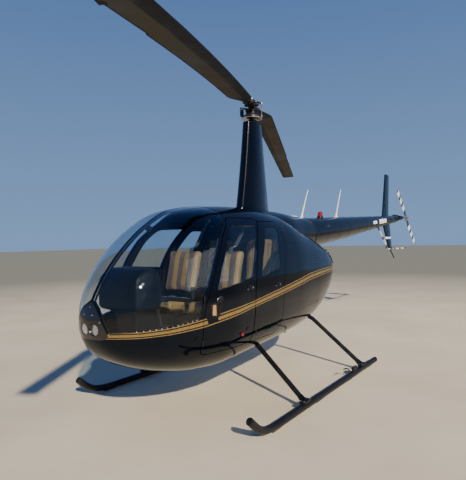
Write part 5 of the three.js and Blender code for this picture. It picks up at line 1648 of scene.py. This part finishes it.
for hand, side in SIDES:
    front_door = "front_door_" + hand
    for place, x, z, lean in HANDLE_PLACES:
        body = f"{place}_door_{hand}"
        plate = pad_on_side(oval(x, z, 0.052, 0.02, lean), side, 0.0025)
        at, out = on_side(x + 0.012, z + 0.001, side)
        lever = rounded([(x - 0.04, z - 0.006, 0.005), (x + 0.018, z - 0.009, 0.005),
                         (x + 0.018, z + 0.007, 0.005), (x - 0.04, z + 0.008, 0.005)], 4)
        handle = join(plate, pad_on_side(lever, side, 0.0125), spun(STUD, at, out, 18))
        add_piece(f"{place}_handle_{hand}", handle, SATIN, body=body)
        locks = join(spun(LOCK, at + 0.0105 * out, out, 18),
                     spun(LOCK * (1, 0.9), *on_side(x - 0.062, z - 0.012, side), 18))
        add_piece(f"{place}_lock_{hand}", locks, CHROME, body=body)
    for place, base, axis, steps in HINGES:
        base, axis = np.array(base) * (1, side, 1), np.array(axis) * (1, side, 1)
        knuckles = [spun(KNUCKLE, base + t * axis, axis, 14) for t in steps]
        add_piece(f"{place}_hinge_{hand}", join(*knuckles), SATIN, body=f"{place}_door_{hand}")

    # the vent with its hood, the frame beside it and the bar between them
    vent = join(pad_on_side(oval(VENT_X, VENT_Z, 0.036, 0.024, VENT_LEAN), side, 0.004, 0.006),
                pad_on_side(oval(-1.508, 1.093, 0.026, 0.014, VENT_LEAN), side, 0.013, 0.011),
                pad_on_side(VENT_FRAME, side, 0.003), pad_on_side(VENT_BAR, side, 0.009, 0.008))
    add_piece("door_vent_" + hand, vent, RUBBER, body=front_door)
    # A steel crescent along the vent's upper edge, widest in the middle: the rim with a painted highlight
    # where light catches it.
    crescent = on_side(*oval(VENT_X, VENT_Z, 0.036, 0.024, VENT_LEAN, 40).T, side, 0.0045)[0][2:20]
    width = 0.0012 + 0.0022 * np.sin(np.linspace(0, np.pi, len(crescent)))
    add_piece("door_vent_rim_" + hand, tube(crescent, width, 10), STEEL, body=front_door)
    add_piece("door_tan_tab_" + hand, pad_on_side(TAN_TAB, side, 0.0052), TAN_TRIM, body=front_door)

    light_at = on_side(-1.203, 0.737, side)
    add_piece("side_light_base_" + hand, spun(LIGHT_BASE, *light_at, 24), SATIN, body=front_door)
    lens = RED if side < 0 else GREEN
    add_piece("side_light_" + hand, spun(LIGHT_DOME, *light_at, 24), lens, body=front_door)

LATCH_PLACES = ((0.143, 1.273), (0.62, 1.3), (0.143, 0.8), (0.62, 0.82), (1.235, 1.27))
LATCH_STUD = [(0, 0.0062), (0.0022, 0.006), (0.003, 0.0042)]
latch_places = [(x, z, side) for side in (-1, 1) for x, z in LATCH_PLACES]
latches = [pad_on_side(oval(x, z, 0.016, 0.012), side, 0.0022, 0.003) for x, z, side in latch_places]
studs = [spun(LATCH_STUD, *on_side(x, z, side, 0.0018), 16) for x, z, side in latch_places]
add_piece("cowl_latches", join(*latches), SATIN)
add_piece("cowl_latch_studs", join(*studs), STEEL)


# Louvred grille round the tail cowl's end
def tail_row(z, front, count=61):
    """A level line round the tail at height z, from a station on one side to the other, and its normals."""
    q = np.sin(np.linspace(-np.pi / 2, np.pi / 2, count))
    y = q * side_y(np.array(front), np.asarray(z)) * 0.9995
    z = np.full(count, z)
    at = np.stack([level_x(y, z, 0.9, TAIL - 1e-6, True), y, z], 1)
    return at, body_normal(at)


# height, and the station where the row starts
GRILLE_ROWS = ((1.262, 1.414), (1.302, 1.375), (1.342, 1.336), (1.382, 1.318), (1.422, 1.33))
SLAT = ((-0.003, 0.017), (0.01, -0.008), (0.0125, -0.0075), (0.001, 0.02))  # outwards and up, four corners
slats = []
for z, front in GRILLE_ROWS:
    at, out = tail_row(z, front)
    slats.append(loft(np.stack([at + a * out + (0, 0, b) for a, b in SLAT], 1)))
add_piece("grille_slats", join(*slats), SATIN)
# A black sheet flush with the skin fills the openings between the slats: painted shade for the dark bay
# behind them.
rows = [tail_row(z, front) for z, front in ((1.243, 1.425), *GRILLE_ROWS, (1.448, 1.345))]
grid, out = (np.stack(v) for v in zip(*rows))
index = np.arange(grid.shape[0] * grid.shape[1]).reshape(grid.shape[:2])
a, b, c, d = (k.ravel() for k in (index[:-1, :-1], index[:-1, 1:], index[1:, 1:], index[1:, :-1]))
faces = np.concatenate([np.stack([a, b, c], 1), np.stack([a, c, d], 1)])
slat_gap_shade = walled(grid.reshape(-1, 3), out.reshape(-1, 3), faces, (-0.0009, 0.004))
add_piece("grille_backing", slat_gap_shade[0], RUBBER, normals=slat_gap_shade[1])

# A low white puck on the cowl's top, and small screws on the nose cap
TOP_Z = 1.672 + 0.2345
PUCK = rounded([(0.95, TOP_Z - 0.02, 0.004), (1.1, TOP_Z - 0.032, 0.004), (1.092, TOP_Z - 0.002, 0.01),
                (0.965, TOP_Z + 0.01, 0.012)], 5)
add_piece("receiver_puck", slab(PUCK, -0.036, 0.036, 0.008), WHITE)
cap_y, cap_z = np.array([(0.045, 1.04), (-0.045, 1.04), (0.115, 0.985), (-0.115, 0.985), (0.0, 1.098)]).T
cap_at = np.stack([nose_x(cap_y, cap_z), cap_y, cap_z], 1)
cap_out = body_normal(cap_at + (1e-4, 0, 0))
add_piece("nose_cap_screws", domes(cap_at, cap_out, 0.005, 0.0018, 10), STEEL)

# A hooked tow pin on each skid
pins = []
for side in (-1, 1):
    y = side * SKID_Y
    pin = bent([(0.4, y - side * 0.012, 0.06), (0.385, y - side * 0.05, 0.108, 0.02),
                (0.29, y - side * 0.055, 0.116)], 7)
    pins.append(tube(pin, 0.0065, 12))
add_piece("tow_pins", join(*pins), SATIN)

# Finishes of the CAD nodes that show as they are
for node, finish in (("firewall", LINING), ("cabin_floor", CARPET), ("engine_block", ENGINE)):
    for slot in frame["nodes"][node].material_slots:
        slot.material = finish.material


# Stage: a pale floor, a sun with a side lamp, and a cool sky
def facing(direction):
    """The turn that points a lamp's -z along a direction."""
    ahead = unit(np.array(direction, float))
    across = unit(np.cross(ahead, (0, 0, 1)))
    return Matrix((across, np.cross(across, ahead), -ahead)).transposed().to_4x4()


def add_lamp(name, kind, power, tint, at, direction, **settings):
    """A lamp at a place counted from the rotor mast."""
    data = bpy.data.lights.new(name, kind)
    data.energy = power
    data.color = tint
    for key, value in settings.items():
        setattr(data, key, value)
    lamp = bpy.data.objects.new(name, data)
    lamp.matrix_world = Matrix.Translation((at[0] + MAST, at[1], at[2])) @ facing(direction)
    bpy.context.scene.collection.objects.link(lamp)
    return lamp


FLOOR_HALF, FLOOR_FADE = 80, 16.0  # metres


def pale_floor():
    """Pale concrete, darkened with its distance from the middle, fully at FLOOR_FADE: a painted falloff of
    light that also darkens the floor seen in reflections.
    """
    f = Finish("pale_floor", Specular_IOR_Level=0.2)
    drift = f.noise(0.7, 7)
    near = f.ramp(drift, (0.3, (0.66, 0.55, 0.38)), (0.7, (0.78, 0.67, 0.48)))
    away = f.node("VectorMath", operation="LENGTH")
    f.link(f.place(), away.inputs[0])
    # painted shade: the concrete darkens away from the middle
    reach = f.ramp(f.math("DIVIDE", away.outputs["Value"], FLOOR_FADE), (0.35, (0, 0, 0)), (1.0, (1, 1, 1)))
    f.colour(f.mix(reach, near, (0.27, 0.255, 0.185)))
    f.roughness(f.ramp(drift, (0.3, 0.8), (0.7, 0.92)))
    f.bump(f.noise(26, 5), 0.1, 0.002)
    mesh = bpy.data.meshes.new("floor")
    corners = [(x * FLOOR_HALF, y * FLOOR_HALF, 0) for x, y in ((-1, -1), (1, -1), (1, 1), (-1, 1))]
    mesh.from_pydata(corners, [], [(0, 1, 2, 3)])
    mesh.materials.append(f.material)
    floor = bpy.data.objects.new("floor", mesh)
    bpy.context.scene.collection.objects.link(floor)


def cool_sky():
    """A soft sky, paler at its edge than overhead."""
    world = bpy.data.worlds.new("soft_sky")
    bpy.context.scene.world = world
    world.use_nodes = True
    nodes, links = world.node_tree.nodes, world.node_tree.links
    coords, split, ramp = (nodes.new("ShaderNode" + k) for k in ("TexCoord", "SeparateXYZ", "ValToRGB"))
    stops = ((0.02, (0.3, 0.5, 0.86, 1)), (0.75, (0.035, 0.12, 0.46, 1)))
    for element, (place, colour) in zip(ramp.color_ramp.elements, stops):
        element.position = place
        element.color = colour
    links.new(coords.outputs["Generated"], split.inputs["Vector"])
    links.new(split.outputs["Z"], ramp.inputs["Fac"])
    links.new(ramp.outputs["Color"], nodes["Background"].inputs["Color"])
    nodes["Background"].inputs["Strength"].default_value = 0.7


pale_floor()
cool_sky()
SUNWARD = (-0.52, -0.71, 0.475)
add_lamp("key_light", "SUN", 6.0, (1.0, 0.92, 0.78), (-5, -8, 8), [-v for v in SUNWARD],
         angle=math.radians(1.2))
side_lamp = add_lamp("side_lamp", "AREA", 260, (1.0, 0.97, 0.92), (2.5, -9.0, 4.0), (-0.2, 1.0, -0.3),
                     size=5.0)
side_lamp.visible_glossy = False
